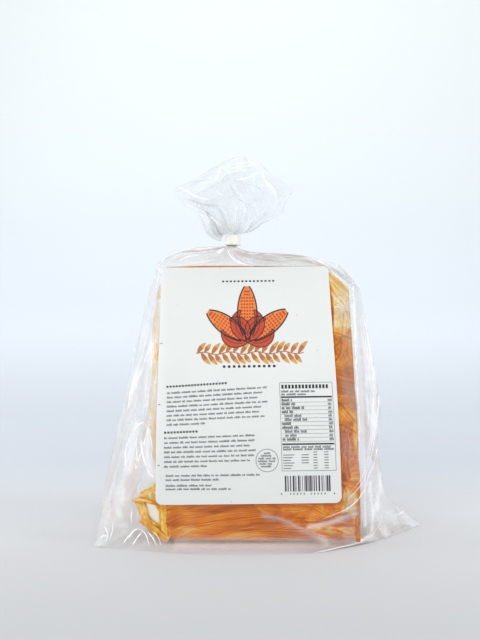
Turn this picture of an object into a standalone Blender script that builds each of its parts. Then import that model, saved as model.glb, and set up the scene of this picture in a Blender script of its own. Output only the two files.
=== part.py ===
"""A tied clear bag of husk-wrapped tamales, standing on its base, with a paper label on its front.

Metres, +Z up. The front faces -Y. The origin is at the middle of the base of the bag's box.
The bag is modelled as the closed outer form of its film, from the flat seal on the floor, up
round the stack of tamales, over the shoulders to the tied neck and out into the loose tuft.
"""

import math

import bmesh
import bpy
import numpy as np

# The stack of tamales that fills the bag: one is about as long as the stack is wide.
STACK_WIDTH = 0.113
STACK_BACK_Y = 0.022
STACK_CORNER = 0.007
# The front of the stack, from the floor up: two tamales deep below, one deep above.
FRONT_KNOTS = ((0.0, -0.0270), (0.030, -0.0272), (0.060, -0.0250), (0.085, -0.0195),
               (0.118, -0.0090), (0.150, 0.0010), (0.170, 0.0050))

# The bag's side edges as (height, x), and how far forward each edge lies as (height, y).
LEFT_X = ((0.0, -0.0930), (0.034, -0.0870), (0.076, -0.0812), (0.108, -0.0752), (0.148, -0.0655),
          (0.170, -0.0600))
LEFT_Y = ((0.0, -0.0300), (0.034, -0.0200), (0.076, -0.0080), (0.108, 0.0010), (0.170, 0.0100))
RIGHT_X = ((0.0, 0.1010), (0.006, 0.0930), (0.016, 0.0810), (0.032, 0.0765), (0.075, 0.0740),
           (0.122, 0.0680), (0.145, 0.0630), (0.170, 0.0600))
RIGHT_Y = ((0.0, 0.0080), (0.050, 0.0060), (0.170, 0.0100))
TIP_ROUND = 0.0030
SIDE_PINCH = 0.0040
SIDE_PINCH_FULL = 0.0200

# The heat seal lies on the floor in front of the stack and sweeps back to the bag's two corners.
SEAL_LEFT = (-0.0740, -0.0335)
SEAL_FRONT_LEFT = (-0.0450, -0.0400)
SEAL_FRONT = (-0.0110, -0.0430)
SEAL_FRONT_RIGHT = (0.0300, -0.0395)
SEAL_RIGHT = (0.0640, -0.0225)
SEAL_THICKNESS = 0.0008
SKIRT_HEIGHT = 0.0110
SKIRT_CURVE = 2.4

# The shoulders: the right one is cut low, where the top tamale ends short.
SHOULDER_Z = 0.1590
RIGHT_SHOULDER_DROP = 0.0205
RIGHT_SHOULDER_FROM_X = 0.0440
RIGHT_SHOULDER_TO_X = 0.0680
ROOF_SWELL = 4.3
ROOF_DIP_RIGHT = 0.0040
ROOF_DIP_FROM_X = -0.0160
ROOF_DIP_TO_X = 0.0140
ROOF_DIP_END = 8.0

# The neck, gathered and twisted, and the tape tie round it.
NECK_X = -0.0158
NECK_Y = 0.0090
NECK_RADIUS = 0.0030
NECK_FOOT_Z = 0.1690
NECK_TOP_Z = 0.1768
NECK_TWIST = math.radians(50)
TIE_GAP = 0.0004
TIE_THICKNESS = 0.0007
TIE_FOOT_Z = 0.1698
TIE_HEIGHT = 0.0062
TIE_TAB_REACH = 0.0054
TIE_TAB_THICKNESS = 0.0022

# The tuft of film above the tie: its left and right reach and its half depth, by height.
TUFT_TOP_Z = 0.2232
TUFT_LEFT_X = ((NECK_TOP_Z, NECK_X - NECK_RADIUS), (0.1775, -0.0235), (0.1790, -0.0270),
               (0.1815, -0.0312), (0.185, -0.0342), (0.188, -0.0364), (0.191, -0.0386),
               (0.1925, -0.0412), (0.194, -0.0450), (0.1965, -0.0491), (0.200, -0.0508),
               (0.2048, -0.0500), (0.207, -0.0440), (0.211, -0.0352), (0.2165, -0.0261),
               (0.2210, -0.0186), (TUFT_TOP_Z, -0.0135))
TUFT_RIGHT_X = ((NECK_TOP_Z, NECK_X + NECK_RADIUS), (0.1777, -0.0070), (0.180, -0.0014),
                (0.183, 0.0024), (0.186, 0.0076), (0.189, 0.0130), (0.194, 0.0162),
                (0.199, 0.0194), (0.2035, 0.0222), (0.2075, 0.0162), (0.212, 0.0074),
                (0.217, 0.0036), (0.2205, -0.0016), (TUFT_TOP_Z, -0.0065))
TUFT_DEPTH = ((NECK_TOP_Z, NECK_RADIUS), (0.181, 0.0080), (0.190, 0.0130), (0.202, 0.0165),
              (0.212, 0.0130), (0.219, 0.0072), (TUFT_TOP_Z, 0.0022))
TUFT_LOBES = 3
TUFT_LOBE_DEPTH = 0.16
TUFT_CREASES = 11
TUFT_CREASE_DEPTH = 0.10
TUFT_DROOP = 0.0040

# Folds in the film: pleats that fan out from the neck, and long soft folds down the two sides.
PLEATS = 12
PLEAT_HEIGHT = 0.0011
SIDE_FOLD = 0.0011
SIDE_FOLD_LENGTH = 0.0150

# The label, stuck to the film. Its right edge is flat on the front, and it runs from there leftwards.
LABEL_WIDTH = 0.1028
LABEL_LEFT_LEAN = 0.0028
LABEL_RIGHT_X = 0.0452
LABEL_LEAN = 0.0034
LABEL_FOOT_Z = 0.0224
LABEL_TOP_Z = 0.1556
LABEL_TILT_RISE = 0.0012
LABEL_CORNER = 0.0035
LABEL_GAP = 0.0004
LABEL_THICKNESS = 0.0005

# How finely the surfaces are divided.
AROUND = 72
BODY_RINGS = 25
ROOF_RINGS = 8
TUFT_RINGS = 18
SECTION_LEVELS = 90
BEND_WEIGHT = 0.008
LABEL_BEND_WIDTH = 0.020
LABEL_BEND_COLUMNS = 12
LABEL_FLAT_COLUMNS = 7
LABEL_ROWS = 16
TIE_STEPS = 48


def clear_scene():
    for obj in list(bpy.data.objects):
        bpy.data.objects.remove(obj, do_unlink=True)


def smooth(t):
    """0 below 0 and 1 above 1, with a soft start and end between."""
    t = np.clip(t, 0.0, 1.0)
    return t * t * (3.0 - 2.0 * t)


def along(knots, at):
    """The value at each place on a smooth curve through (place, value) knots."""
    places, values = np.array(knots, float).T
    slopes = np.gradient(values, places)
    at = np.clip(at, places[0], places[-1])
    i = np.clip(np.searchsorted(places, at, side="right") - 1, 0, len(places) - 2)
    step = places[i + 1] - places[i]
    t = (at - places[i]) / step
    return (
        values[i] * (1 + 2 * t) * (1 - t) ** 2
        + slopes[i] * step * t * (1 - t) ** 2
        + values[i + 1] * t * t * (3 - 2 * t)
        + slopes[i + 1] * step * t * t * (t - 1)
    )


def rounded_chain(points, radii, bend_steps=10):
    """A line through the points with each inner corner rounded. Its ends are the rounded tips' middles."""
    points = np.array(points, float)
    line = []
    for i in range(1, len(points) - 1):
        before, corner, after = points[i - 1], points[i], points[i + 1]
        start = corner + (before - corner) * min(0.5, radii[i] / np.linalg.norm(before - corner))
        end = corner + (after - corner) * min(0.5, radii[i] / np.linalg.norm(after - corner))
        for t in np.linspace(0.0, 1.0, bend_steps):
            line.append((1 - t) ** 2 * start + 2 * t * (1 - t) * corner + t * t * end)
    return np.array(line)


def lengths_along(line):
    steps = np.linalg.norm(np.diff(line, axis=0), axis=1)
    return np.concatenate([[0.0], np.cumsum(steps)])


def resampled(line, count):
    """count + 1 points along the line, ends included, closer together where it bends."""
    apart = np.linalg.norm(np.diff(line, axis=0), axis=1) > 1e-6
    line = line[np.concatenate([[True], apart])]
    ahead = np.diff(line, axis=0)
    heading = np.unwrap(np.arctan2(ahead[:, 1], ahead[:, 0]))
    turned = np.abs(np.diff(heading, prepend=heading[0]))
    measure = lengths_along(line) + np.concatenate([[0.0], np.cumsum(turned)]) * BEND_WEIGHT
    at = np.linspace(0.0, measure[-1], count + 1)
    return np.stack([np.interp(at, measure, line[:, k]) for k in (0, 1)], axis=1)


def section_chains(z):
    """The bag's front and back outlines at height z, each from the left edge to the right edge."""
    half = STACK_WIDTH / 2
    front = float(along(FRONT_KNOTS, z))
    left = np.array([along(LEFT_X, z), along(LEFT_Y, z)], float)
    right = np.array([along(RIGHT_X, z), along(RIGHT_Y, z)], float)
    front_left, front_right = np.array([-half, front]), np.array([half, front])
    back_left, back_right = np.array([-half, STACK_BACK_Y]), np.array([half, STACK_BACK_Y])
    # The film draws in between the stack and the edge, least where the edge is close to the stack.
    pinch_left = np.array([0.0, SIDE_PINCH * min(1.0, (-half - left[0]) / SIDE_PINCH_FULL)])
    pinch_right = np.array([0.0, SIDE_PINCH * min(1.0, (right[0] - half) / SIDE_PINCH_FULL)])
    drawn = max(0.0, 1.0 - z / SKIRT_HEIGHT) ** SKIRT_CURVE

    def towards_seal(point, seal):
        return point + (np.array(seal) - point) * drawn

    front_points = [
        towards_seal((front_left + left) / 2 + pinch_left, SEAL_LEFT),
        towards_seal(front_left, SEAL_FRONT_LEFT),
        towards_seal(np.array([SEAL_FRONT[0], front]), SEAL_FRONT),
        towards_seal(front_right, SEAL_FRONT_RIGHT),
        towards_seal((front_right + right) / 2 + pinch_right, SEAL_RIGHT),
    ]
    back_points = [
        (back_left + left) / 2 - pinch_left,
        back_left,
        back_right,
        (back_right + right) / 2 - pinch_right,
    ]
    # Each chain starts and ends half way round the rounded tip, so the tips are closed twice over.
    tip_left = left + np.array([TIP_ROUND / 2, 0.0])
    tip_right = right - np.array([TIP_ROUND / 2, 0.0])
    wide, tight = 0.014, STACK_CORNER
    front_line = rounded_chain([left, *front_points, right], [0, wide, tight, wide, tight, wide, 0])
    back_line = rounded_chain([left, *back_points, right], [0, wide, tight, tight, wide, 0])
    front_line = np.vstack([tip_left, front_line, tip_right])
    back_line = np.vstack([tip_left, back_line, tip_right])
    return front_line, back_line


def section(z, around):
    """The closed outline at height z: left edge, front, right edge, back, counter-clockwise from above."""
    front_line, back_line = section_chains(z)
    front = resampled(front_line, around // 2)[:-1]
    back = resampled(back_line, around // 2)[::-1][:-1]
    return np.vstack([front, back])


def outward(ring):
    """The horizontal outward direction at each point of a closed ring."""
    ahead = np.roll(ring, -1, axis=0) - np.roll(ring, 1, axis=0)
    normal = np.stack([ahead[:, 1], -ahead[:, 0]], axis=1)
    return normal / np.maximum(np.linalg.norm(normal, axis=1, keepdims=True), 1e-9)


def side_share(ring):
    """1 on the loose film beyond the stack's two ends, and 0 where the film is tight."""
    return smooth((np.abs(ring[:, 0]) - STACK_WIDTH / 2 - 0.002) / 0.010)


def body_rings(around):
    """Rings of points from the floor to the shoulders."""
    heights = np.linspace(0.0, SHOULDER_Z, SECTION_LEVELS)
    sections = np.array([section(z, around) for z in heights])
    top_x = sections[-1][:, 0]
    fall = smooth((top_x - RIGHT_SHOULDER_FROM_X) / (RIGHT_SHOULDER_TO_X - RIGHT_SHOULDER_FROM_X))
    top_z = SHOULDER_Z - RIGHT_SHOULDER_DROP * fall
    low = np.array([0.0, SEAL_THICKNESS, 0.0022, 0.0045, 0.0080]) / SHOULDER_Z
    shares = np.concatenate([low, np.linspace(0.0, 1.0, BODY_RINGS - len(low) + 2)[2:]])
    rings = []
    for share in shares:
        z = share * top_z
        level = z / SHOULDER_Z * (SECTION_LEVELS - 1)
        below = np.clip(level.astype(int), 0, SECTION_LEVELS - 2)
        part = (level - below)[:, None]
        columns = np.arange(around)
        ring = sections[below, columns] * (1 - part) + sections[below + 1, columns] * part
        if share <= low[1]:
            ring = sections[0].copy()
        reach = np.abs(ring[:, 0])
        wave = np.sin(2 * math.pi * (reach / SIDE_FOLD_LENGTH + 3.0 * z / SHOULDER_Z))
        rise = smooth((z - SKIRT_HEIGHT) / 0.02) * smooth((top_z - z) / 0.02)
        ring = ring + outward(ring) * (SIDE_FOLD * wave * side_share(ring) * rise)[:, None]
        rings.append(np.column_stack([ring, z]))
    return rings


def roof_rings(shoulder, around):
    """Rings that draw in from the shoulders to the neck, pleated as gathered film is."""
    turn = math.pi + 2 * math.pi * np.arange(around) / around
    dip = smooth((shoulder[:, 0] - ROOF_DIP_FROM_X) / (ROOF_DIP_TO_X - ROOF_DIP_FROM_X))
    flat_z = NECK_FOOT_Z - ROOF_DIP_RIGHT * dip
    rings = []
    for share in np.linspace(0.0, 1.0, ROOF_RINGS + 1)[1:]:
        twist = NECK_TWIST * share**3
        neck = np.stack([
            NECK_X + NECK_RADIUS * np.cos(turn + twist),
            NECK_Y + NECK_RADIUS * np.sin(turn + twist),
        ], axis=1)
        flat = shoulder[:, :2] + (neck - shoulder[:, :2]) * share**0.85
        z = shoulder[:, 2] + (flat_z - shoulder[:, 2]) * (1.0 - (1.0 - share) ** ROOF_SWELL)
        z = z + (NECK_FOOT_Z - flat_z) * share**ROOF_DIP_END
        fade = 4.0 * share * (1.0 - share)
        pleat = np.sin(PLEATS * (turn - 0.8 * share)) - 1.0
        rings.append(np.column_stack([flat, z + PLEAT_HEIGHT * fade * pleat]))
    return rings


def tuft_rings(around):
    """Rings from the top of the neck through the ruffled tuft, short of its closing point."""
    turn = math.pi + 2 * math.pi * np.arange(around) / around + NECK_TWIST
    rings = []
    for share in np.linspace(0.0, 1.0, TUFT_RINGS):
        # Rings lie closer together near the neck and near the top, where the form changes fastest.
        z = NECK_TOP_Z + (TUFT_TOP_Z - NECK_TOP_Z) * (0.5 * share + 0.5 * smooth(share))
        left, right = along(TUFT_LEFT_X, z), along(TUFT_RIGHT_X, z)
        depth = along(TUFT_DEPTH, z)
        loose = smooth(share / 0.3) * smooth((1.0 - share) / 0.25)
        gathered = smooth(share / 0.12) * smooth((0.8 - share) / 0.5)
        fold = 1.0 + TUFT_LOBE_DEPTH * loose * np.sin(TUFT_LOBES * turn + 4.0 * share) * np.sin(turn) ** 2
        fold = fold - TUFT_CREASE_DEPTH * gathered * np.abs(np.sin(TUFT_CREASES * turn / 2 + 1.5 * share))
        x = (left + right) / 2 + (right - left) / 2 * np.cos(turn) * fold
        y = NECK_Y + depth * np.sin(turn) * fold
        low = smooth((NECK_X - NECK_RADIUS - 0.002 - x) / 0.006) * smooth((0.5 - share) / 0.4)
        rings.append(np.column_stack([x, y, z - TUFT_DROOP * low]))
    return rings


def bag_rings(around):
    rings = body_rings(around)
    rings += roof_rings(rings[-1], around)
    rings += tuft_rings(around)
    return rings


def new_object(name, bm, colour, roughness):
    bmesh.ops.recalc_face_normals(bm, faces=bm.faces)
    mesh = bpy.data.meshes.new(name)
    bm.to_mesh(mesh)
    bm.free()
    obj = bpy.data.objects.new(name, mesh)
    bpy.context.scene.collection.objects.link(obj)
    mesh.shade_smooth()
    mesh.set_sharp_from_angle(angle=math.radians(50))
    material = bpy.data.materials.new(name)
    material.use_nodes = True
    shader = material.node_tree.nodes["Principled BSDF"]
    shader.inputs["Base Color"].default_value = (*colour, 1.0)
    shader.inputs["Roughness"].default_value = roughness
    mesh.materials.append(material)
    return obj


def bridge(bm, lower, upper):
    """Quads between two closed rings of the same count."""
    count = len(lower)
    for i in range(count):
        j = (i + 1) % count
        bm.faces.new((lower[i], lower[j], upper[j], upper[i]))


def make_bag(shift):
    bm = bmesh.new()
    rings = [[bm.verts.new(tuple(p - shift)) for p in ring] for ring in bag_rings(AROUND)]
    for lower, upper in zip(rings, rings[1:]):
        bridge(bm, lower, upper)
    bm.faces.new(rings[0][::-1])
    top = rings[-1]
    crown = bm.verts.new(tuple(np.mean([v.co for v in top], axis=0) + np.array([0, 0, 0.0006])))
    for i, vertex in enumerate(top):
        bm.faces.new((vertex, top[(i + 1) % AROUND], crown))
    return new_object("bag", bm, (0.88, 0.74, 0.58), 0.25)


def label_point(across, up):
    """A point of the film under the label, and the direction out of it.

    across runs from 0 at the label's left edge to 1 at its right, and up from its foot to its top.
    """
    z = LABEL_FOOT_Z + up * (LABEL_TOP_Z - LABEL_FOOT_Z) + LABEL_TILT_RISE * across
    right_x = LABEL_RIGHT_X - LABEL_LEAN * up
    line = section_chains(z)[0]
    length = lengths_along(line)
    flat = np.nonzero(line[:, 0] <= right_x)[0][-1]
    share = (right_x - line[flat, 0]) / (line[flat + 1, 0] - line[flat, 0])
    right_at = length[flat] + share * (length[flat + 1] - length[flat])
    at = right_at - (LABEL_WIDTH - LABEL_LEFT_LEAN * up) * (1.0 - across)
    x, y = (np.interp(at, length, line[:, k]) for k in (0, 1))
    step = 0.002
    ahead_x, ahead_y = (
        np.interp(at + step, length, line[:, k]) - np.interp(at - step, length, line[:, k]) for k in (0, 1)
    )
    size = math.hypot(ahead_x, ahead_y)
    return np.array([x, y, z]), np.array([ahead_y / size, -ahead_x / size, 0.0])


def make_label(shift):
    """A sheet with round corners that lies a hair off the film, its thickness between two grids."""
    tall = LABEL_TOP_Z - LABEL_FOOT_Z
    corner_rows = np.array([0.0, 0.12, 0.45, 1.0]) * LABEL_CORNER / tall
    middle_rows = np.linspace(corner_rows[-1], 1 - corner_rows[-1], LABEL_ROWS - 6)[1:-1]
    rows = np.concatenate([corner_rows, middle_rows, 1 - corner_rows[::-1]])
    bend = LABEL_BEND_WIDTH / LABEL_WIDTH
    columns = np.concatenate([
        np.linspace(0.0, bend, LABEL_BEND_COLUMNS + 1),
        np.linspace(bend, 1.0, LABEL_FLAT_COLUMNS + 1)[1:],
    ])
    bm = bmesh.new()
    sheets = []
    for depth in (LABEL_GAP, LABEL_GAP + LABEL_THICKNESS):
        sheet = []
        for row in rows:
            from_end = min(row, 1 - row) * tall
            short = max(0.0, LABEL_CORNER - from_end)
            inset = (LABEL_CORNER - math.sqrt(LABEL_CORNER**2 - short**2)) / LABEL_WIDTH
            line = []
            for across in inset + columns * (1 - 2 * inset):
                point, out = label_point(across, row)
                line.append(bm.verts.new(tuple(point + out * depth - shift)))
            sheet.append(line)
        sheets.append(sheet)
    inner, outer = sheets
    for i in range(len(rows) - 1):
        for j in range(len(columns) - 1):
            bm.faces.new((outer[i][j], outer[i][j + 1], outer[i + 1][j + 1], outer[i + 1][j]))
            bm.faces.new((inner[i][j], inner[i + 1][j], inner[i + 1][j + 1], inner[i][j + 1]))

    def rim(sheet):
        return (
            sheet[0][:-1]
            + [line[-1] for line in sheet[:-1]]
            + sheet[-1][:0:-1]
            + [line[0] for line in sheet[:0:-1]]
        )

    bridge(bm, rim(inner), rim(outer))
    return new_object("label", bm, (0.91, 0.92, 0.90), 0.6)


def make_tie(shift):
    """A band of tape round the neck whose ends meet in a short tab."""
    inner_radius = NECK_RADIUS + TIE_GAP
    outer_radius = inner_radius + TIE_THICKNESS
    bm = bmesh.new()
    loops = {}
    for z in (TIE_FOOT_Z, TIE_FOOT_Z + TIE_HEIGHT):
        for side in ("inner", "outer"):
            loop = []
            for i in range(TIE_STEPS):
                turn = 2 * math.pi * (i + 0.5) / TIE_STEPS
                reach = inner_radius
                if side == "outer":
                    reach = outer_radius
                    tab = TIE_TAB_THICKNESS / 2 / abs(math.sin(turn))
                    if math.cos(turn) > 0:
                        reach = max(reach, min(TIE_TAB_REACH, tab))
                point = np.array([NECK_X + reach * math.cos(turn), NECK_Y + reach * math.sin(turn), z])
                loop.append(bm.verts.new(tuple(point - shift)))
            loops[side, z] = loop
    foot, top = TIE_FOOT_Z, TIE_FOOT_Z + TIE_HEIGHT
    bridge(bm, loops["outer", foot], loops["outer", top])
    bridge(bm, loops["outer", top], loops["inner", top])
    bridge(bm, loops["inner", top], loops["inner", foot])
    bridge(bm, loops["inner", foot], loops["outer", foot])
    return new_object("tie", bm, (0.93, 0.93, 0.88), 0.4)


def main():
    clear_scene()
    points = np.vstack(bag_rings(AROUND))
    middle = (points.min(axis=0) + points.max(axis=0)) / 2
    shift = np.array([middle[0], middle[1], 0.0])
    make_bag(shift)
    make_label(shift)
    make_tie(shift)


main()
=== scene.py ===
import math

import bmesh
import bpy
import numpy as np
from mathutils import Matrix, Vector
from mathutils.bvhtree import BVHTree


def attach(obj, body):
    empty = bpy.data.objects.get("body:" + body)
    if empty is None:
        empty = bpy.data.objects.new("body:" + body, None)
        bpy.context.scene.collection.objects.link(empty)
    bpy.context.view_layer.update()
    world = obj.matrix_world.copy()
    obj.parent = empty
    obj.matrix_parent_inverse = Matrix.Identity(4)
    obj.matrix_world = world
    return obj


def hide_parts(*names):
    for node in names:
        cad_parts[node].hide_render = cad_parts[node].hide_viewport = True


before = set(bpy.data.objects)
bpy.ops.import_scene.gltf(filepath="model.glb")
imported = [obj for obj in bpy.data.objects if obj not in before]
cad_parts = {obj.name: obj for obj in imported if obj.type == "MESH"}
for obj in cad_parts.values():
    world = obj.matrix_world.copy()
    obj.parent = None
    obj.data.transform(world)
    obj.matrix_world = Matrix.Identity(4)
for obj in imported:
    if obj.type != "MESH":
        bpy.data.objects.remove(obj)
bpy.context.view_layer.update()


# ---------------------------------------------------------------------------------------------
# The studio: a camera level with the middle of the label, and a matt paper sweep that runs
# back from a warm grey table to a cooler wall, under wide soft lamps. The paper's colour holds painted
# light and shade: darker towards the front of the table and brighter up the wall.
# ---------------------------------------------------------------------------------------------
CAMERA_PLACE = (-0.0150, -0.3733, 0.1245)
CAMERA_LENS = 36.0
SWEEP_HALF_WIDTH = 3.0
SWEEP_FRONT_Y = -1.2
SWEEP_BEND_Y = 0.46
SWEEP_BEND_RADIUS = 0.30
SWEEP_TOP_Z = 2.2
TABLE_DROP = 0.0003
# The paper's colour by how far back it lies on the table, and by how high it is on the wall: its tint
# with painted light and shade, darker towards the front and mostly lighter higher up.
TABLE_COLOURS = (
    (-0.115, (0.508, 0.514, 0.520)), (-0.041, (0.550, 0.554, 0.568)), (0.010, (0.590, 0.598, 0.612)),
    (0.070, (0.590, 0.604, 0.626)), (0.200, (0.575, 0.600, 0.650)), (0.430, (0.636, 0.668, 0.712)),
)
WALL_COLOURS = (
    (0.020, (0.742, 0.792, 0.852)), (0.160, (0.725, 0.772, 0.820)), (0.370, (0.786, 0.836, 0.845)),
    (0.660, (0.832, 0.868, 0.864)),
)
# name, place, aimed at, width and height, power, colour
LAMPS = (
    ("lamp_top", (-0.10, -0.25, 1.10), (0, 0.05, 0.10), (0.9, 0.7), 4.6, (1, 0.99, 0.97)),
    ("lamp_front_left", (-0.80, -0.85, 0.30), (0, 0, 0.06), (0.5, 0.6), 2.6, (1, 1, 1)),
    ("lamp_right", (0.85, -0.20, 0.32), (0, 0, 0.08), (0.16, 0.7), 3.2, (0.97, 0.98, 1)),
    ("lamp_left", (-0.85, 0.05, 0.30), (0, 0, 0.08), (0.15, 0.7), 2.6, (0.97, 0.98, 1)),
    ("lamp_front", (0.15, -1.15, 0.10), (0, 0, 0.03), (0.9, 0.3), 3.0, (1, 0.99, 0.98)),
    ("lamp_wall", (0.50, 0.30, 1.6), (0.22, 1.0, 0.30), (1.8, 0.5), 4.6, (0.97, 0.985, 1)),
)

camera = bpy.data.objects.new("camera", bpy.data.cameras.new("camera"))
camera.data.lens = CAMERA_LENS
camera.data.sensor_width = 36.0
camera.data.clip_start = 0.01
camera.location = CAMERA_PLACE
camera.rotation_euler = (math.radians(90), 0, 0)
bpy.context.scene.collection.objects.link(camera)
bpy.context.scene.camera = camera
bpy.context.scene.view_settings.view_transform = "Standard"


def new_mesh_piece(name, points, faces, smooth_faces=True):
    """A mesh object at the origin from points in metres and lists of corner numbers."""
    mesh = bpy.data.meshes.new(name)
    mesh.from_pydata([tuple(p) for p in points], [], [tuple(f) for f in faces])
    mesh.validate()
    mesh.update()
    if smooth_faces:
        mesh.shade_smooth()
    piece = bpy.data.objects.new(name, mesh)
    bpy.context.scene.collection.objects.link(piece)
    return piece


def new_material(name):
    """A material, its Principled shader, and short ways to add a node and to join two sockets."""
    material = bpy.data.materials.new(name)
    material.use_nodes = True
    tree = material.node_tree

    def add(kind, **settings):
        node = tree.nodes.new(kind)
        for key, value in settings.items():
            if key in node.inputs:
                node.inputs[key].default_value = value
            else:
                setattr(node, key, value)
        return node

    def join(source, target):
        tree.links.new(source, target)

    return material, tree.nodes["Principled BSDF"], add, join


bend = [
    (SWEEP_BEND_Y + SWEEP_BEND_RADIUS * math.sin(a), -TABLE_DROP + SWEEP_BEND_RADIUS * (1 - math.cos(a)))
    for a in np.linspace(0, math.pi / 2, 25)
]
profile = [(SWEEP_FRONT_Y, -TABLE_DROP), *bend, (SWEEP_BEND_Y + SWEEP_BEND_RADIUS, SWEEP_TOP_Z)]
sweep_points = [(x, y, z) for x in (-SWEEP_HALF_WIDTH, SWEEP_HALF_WIDTH) for y, z in profile]
n = len(profile)
sweep = new_mesh_piece("sweep", sweep_points, [(i, n + i, n + i + 1, i + 1) for i in range(n - 1)])
paper, shader, add, join = new_material("sweep_paper")
place = add("ShaderNodeTexCoord")
split = add("ShaderNodeSeparateXYZ")
join(place.outputs["Object"], split.inputs[0])
shades = []
for axis, stops in (("Y", TABLE_COLOURS), ("Z", WALL_COLOURS)):
    low, high = stops[0][0], stops[-1][0]
    share = add("ShaderNodeMapRange")
    share.inputs["From Min"].default_value, share.inputs["From Max"].default_value = low, high
    join(split.outputs[axis], share.inputs["Value"])
    ramp = add("ShaderNodeValToRGB")
    join(share.outputs["Result"], ramp.inputs["Fac"])
    ramp.color_ramp.elements[0].color = (*stops[0][1], 1)
    ramp.color_ramp.elements[1].color = (*stops[-1][1], 1)
    for place_at, colour in stops[1:-1]:
        ramp.color_ramp.elements.new((place_at - low) / (high - low)).color = (*colour, 1)
    shades.append(ramp.outputs["Color"])
height = add("ShaderNodeMapRange", interpolation_type="SMOOTHSTEP")
height.inputs["From Min"].default_value = 0.0
height.inputs["From Max"].default_value = 0.12
join(split.outputs["Z"], height.inputs["Value"])
wall_mix = add("ShaderNodeMix", data_type="RGBA")
join(height.outputs["Result"], wall_mix.inputs["Factor"])
join(shades[0], wall_mix.inputs["A"])
join(shades[1], wall_mix.inputs["B"])
join(wall_mix.outputs["Result"], shader.inputs["Base Color"])
shader.inputs["Roughness"].default_value = 0.9
shader.inputs["Specular IOR Level"].default_value = 0.1
sweep.data.materials.append(paper)

world = bpy.data.worlds.new("studio")
world.use_nodes = True
world.node_tree.nodes["Background"].inputs["Color"].default_value = (0.93, 0.96, 1.0, 1)
world.node_tree.nodes["Background"].inputs["Strength"].default_value = 0.55
bpy.context.scene.world = world

for name, place, aim, size, power, colour in LAMPS:
    lamp = bpy.data.lights.new(name, "AREA")
    lamp.shape = "RECTANGLE"
    lamp.size, lamp.size_y = size
    lamp.energy = power
    lamp.color = colour
    holder = bpy.data.objects.new(name, lamp)
    holder.location = place
    holder.rotation_euler = (Vector(aim) - Vector(place)).to_track_quat("-Z", "Y").to_euler()
    bpy.context.scene.collection.objects.link(holder)


# ---------------------------------------------------------------------------------------------
# The six tamales: corn dough in a soaked corn husk, stacked two deep at the bottom and one deep
# at the top. Each is a soft block as long as the stack is wide, its husk's ribs running lengthwise,
# stained orange by chilli oil where the filling has come through.
# ---------------------------------------------------------------------------------------------
STACK_SHIFT = np.array([-0.0040, 0.00774, 0.0])
STACK_HALF = 0.0565
STACK_FRONT = ((0.0, -0.0270), (0.030, -0.0272), (0.060, -0.0250), (0.085, -0.0195),
               (0.118, -0.0090), (0.150, 0.0010), (0.170, 0.0050))
HUSK_CLEARANCE = 0.0014
TAMALE_SQUARENESS = 9.0
TAMALE_END_RADIUS = 0.0030
TAMALE_ROUND_STEPS = 360
TAMALE_LONG_STEPS = 84
RIB_SPACING = 0.0015
RIB_HEIGHT = 0.00013
# name, foot z, top z, back y, front y (None follows the stack's front), ends' x,
# oil stain at the left end, middle and right end, seed
TAMALES = (
    ("tamale_bottom_front", 0.0006, 0.0402, -0.0030, None, (-0.0535, 0.0556), (0.58, 0.62, 0.60), 3),
    ("tamale_bottom_back", 0.0006, 0.0394, 0.0210, -0.0026, (-0.0550, 0.0545), (0.35, 0.55, 0.30), 11),
    ("tamale_second_front", 0.0400, 0.0803, -0.0022, None, (-0.0590, 0.0546), (0.16, 0.60, 0.60), 5),
    ("tamale_second_back", 0.0392, 0.0794, 0.0210, -0.0018, (-0.0560, 0.0540), (0.20, 0.48, 0.42), 17),
    ("tamale_third", 0.0800, 0.1197, 0.0210, None, (-0.0588, 0.0537), (0.10, 0.55, 0.58), 8),
    ("tamale_top", 0.1192, 0.1575, 0.0208, None, (-0.0570, 0.0537), (0.06, 0.35, 0.10), 29),
)
# Where the husk on the stack's front is pale or soaked: middle (x, z), half width and height, change
# in stain, and how many degrees the grain turns there.
FRONT_PATCHES = (
    (-0.0430, 0.0060, 0.0100, 0.0040, -0.12, 26),
    (-0.0480, 0.0150, 0.0060, 0.0060, 0.08, 20),
    (-0.0100, 0.0040, 0.0140, 0.0026, -0.12, 5),
    (-0.0250, 0.0190, 0.0120, 0.0022, 0.12, 8),
    (0.0060, 0.0120, 0.0120, 0.0030, 0.10, -6),
    # These two stain the stack's top edge above the label, most near its middle: partly the husk's own brown, partly
    # painted shade of the gap under the film's roof.
    (-0.0050, 0.1570, 0.0400, 0.0030, 0.15, 0),
    (0.0030, 0.1565, 0.0065, 0.0040, 0.70, 0),
)


def smooth(t):
    """0 below 0 and 1 above 1, with a soft start and end between."""
    t = np.clip(t, 0.0, 1.0)
    return t * t * (3.0 - 2.0 * t)


def along(knots, at):
    """The value at each place on a smooth curve through (place, value) knots."""
    places, values = np.array(knots, float).T
    slopes = np.gradient(values, places)
    at = np.clip(at, places[0], places[-1])
    i = np.clip(np.searchsorted(places, at, side="right") - 1, 0, len(places) - 2)
    step = places[i + 1] - places[i]
    t = (at - places[i]) / step
    return (
        values[i] * (1 + 2 * t) * (1 - t) ** 2
        + slopes[i] * step * t * (1 - t) ** 2
        + values[i + 1] * t * t * (3 - 2 * t)
        + slopes[i + 1] * step * t * t * (t - 1)
    )


def hills(x, y, seed):
    """Smooth random hills from -1 to 1, about one to each unit of x and y."""
    table = np.random.default_rng(seed).uniform(-1, 1, (97, 89))
    x, y = np.broadcast_arrays(np.asarray(x, float), np.asarray(y, float))
    i, j = np.floor(x).astype(int), np.floor(y).astype(int)
    u, v = smooth(x - i), smooth(y - j)
    a, b = table[i % 97, j % 89], table[(i + 1) % 97, j % 89]
    c, d = table[i % 97, (j + 1) % 89], table[(i + 1) % 97, (j + 1) % 89]
    return (a * (1 - u) + b * u) * (1 - v) + (c * (1 - u) + d * u) * v


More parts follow.
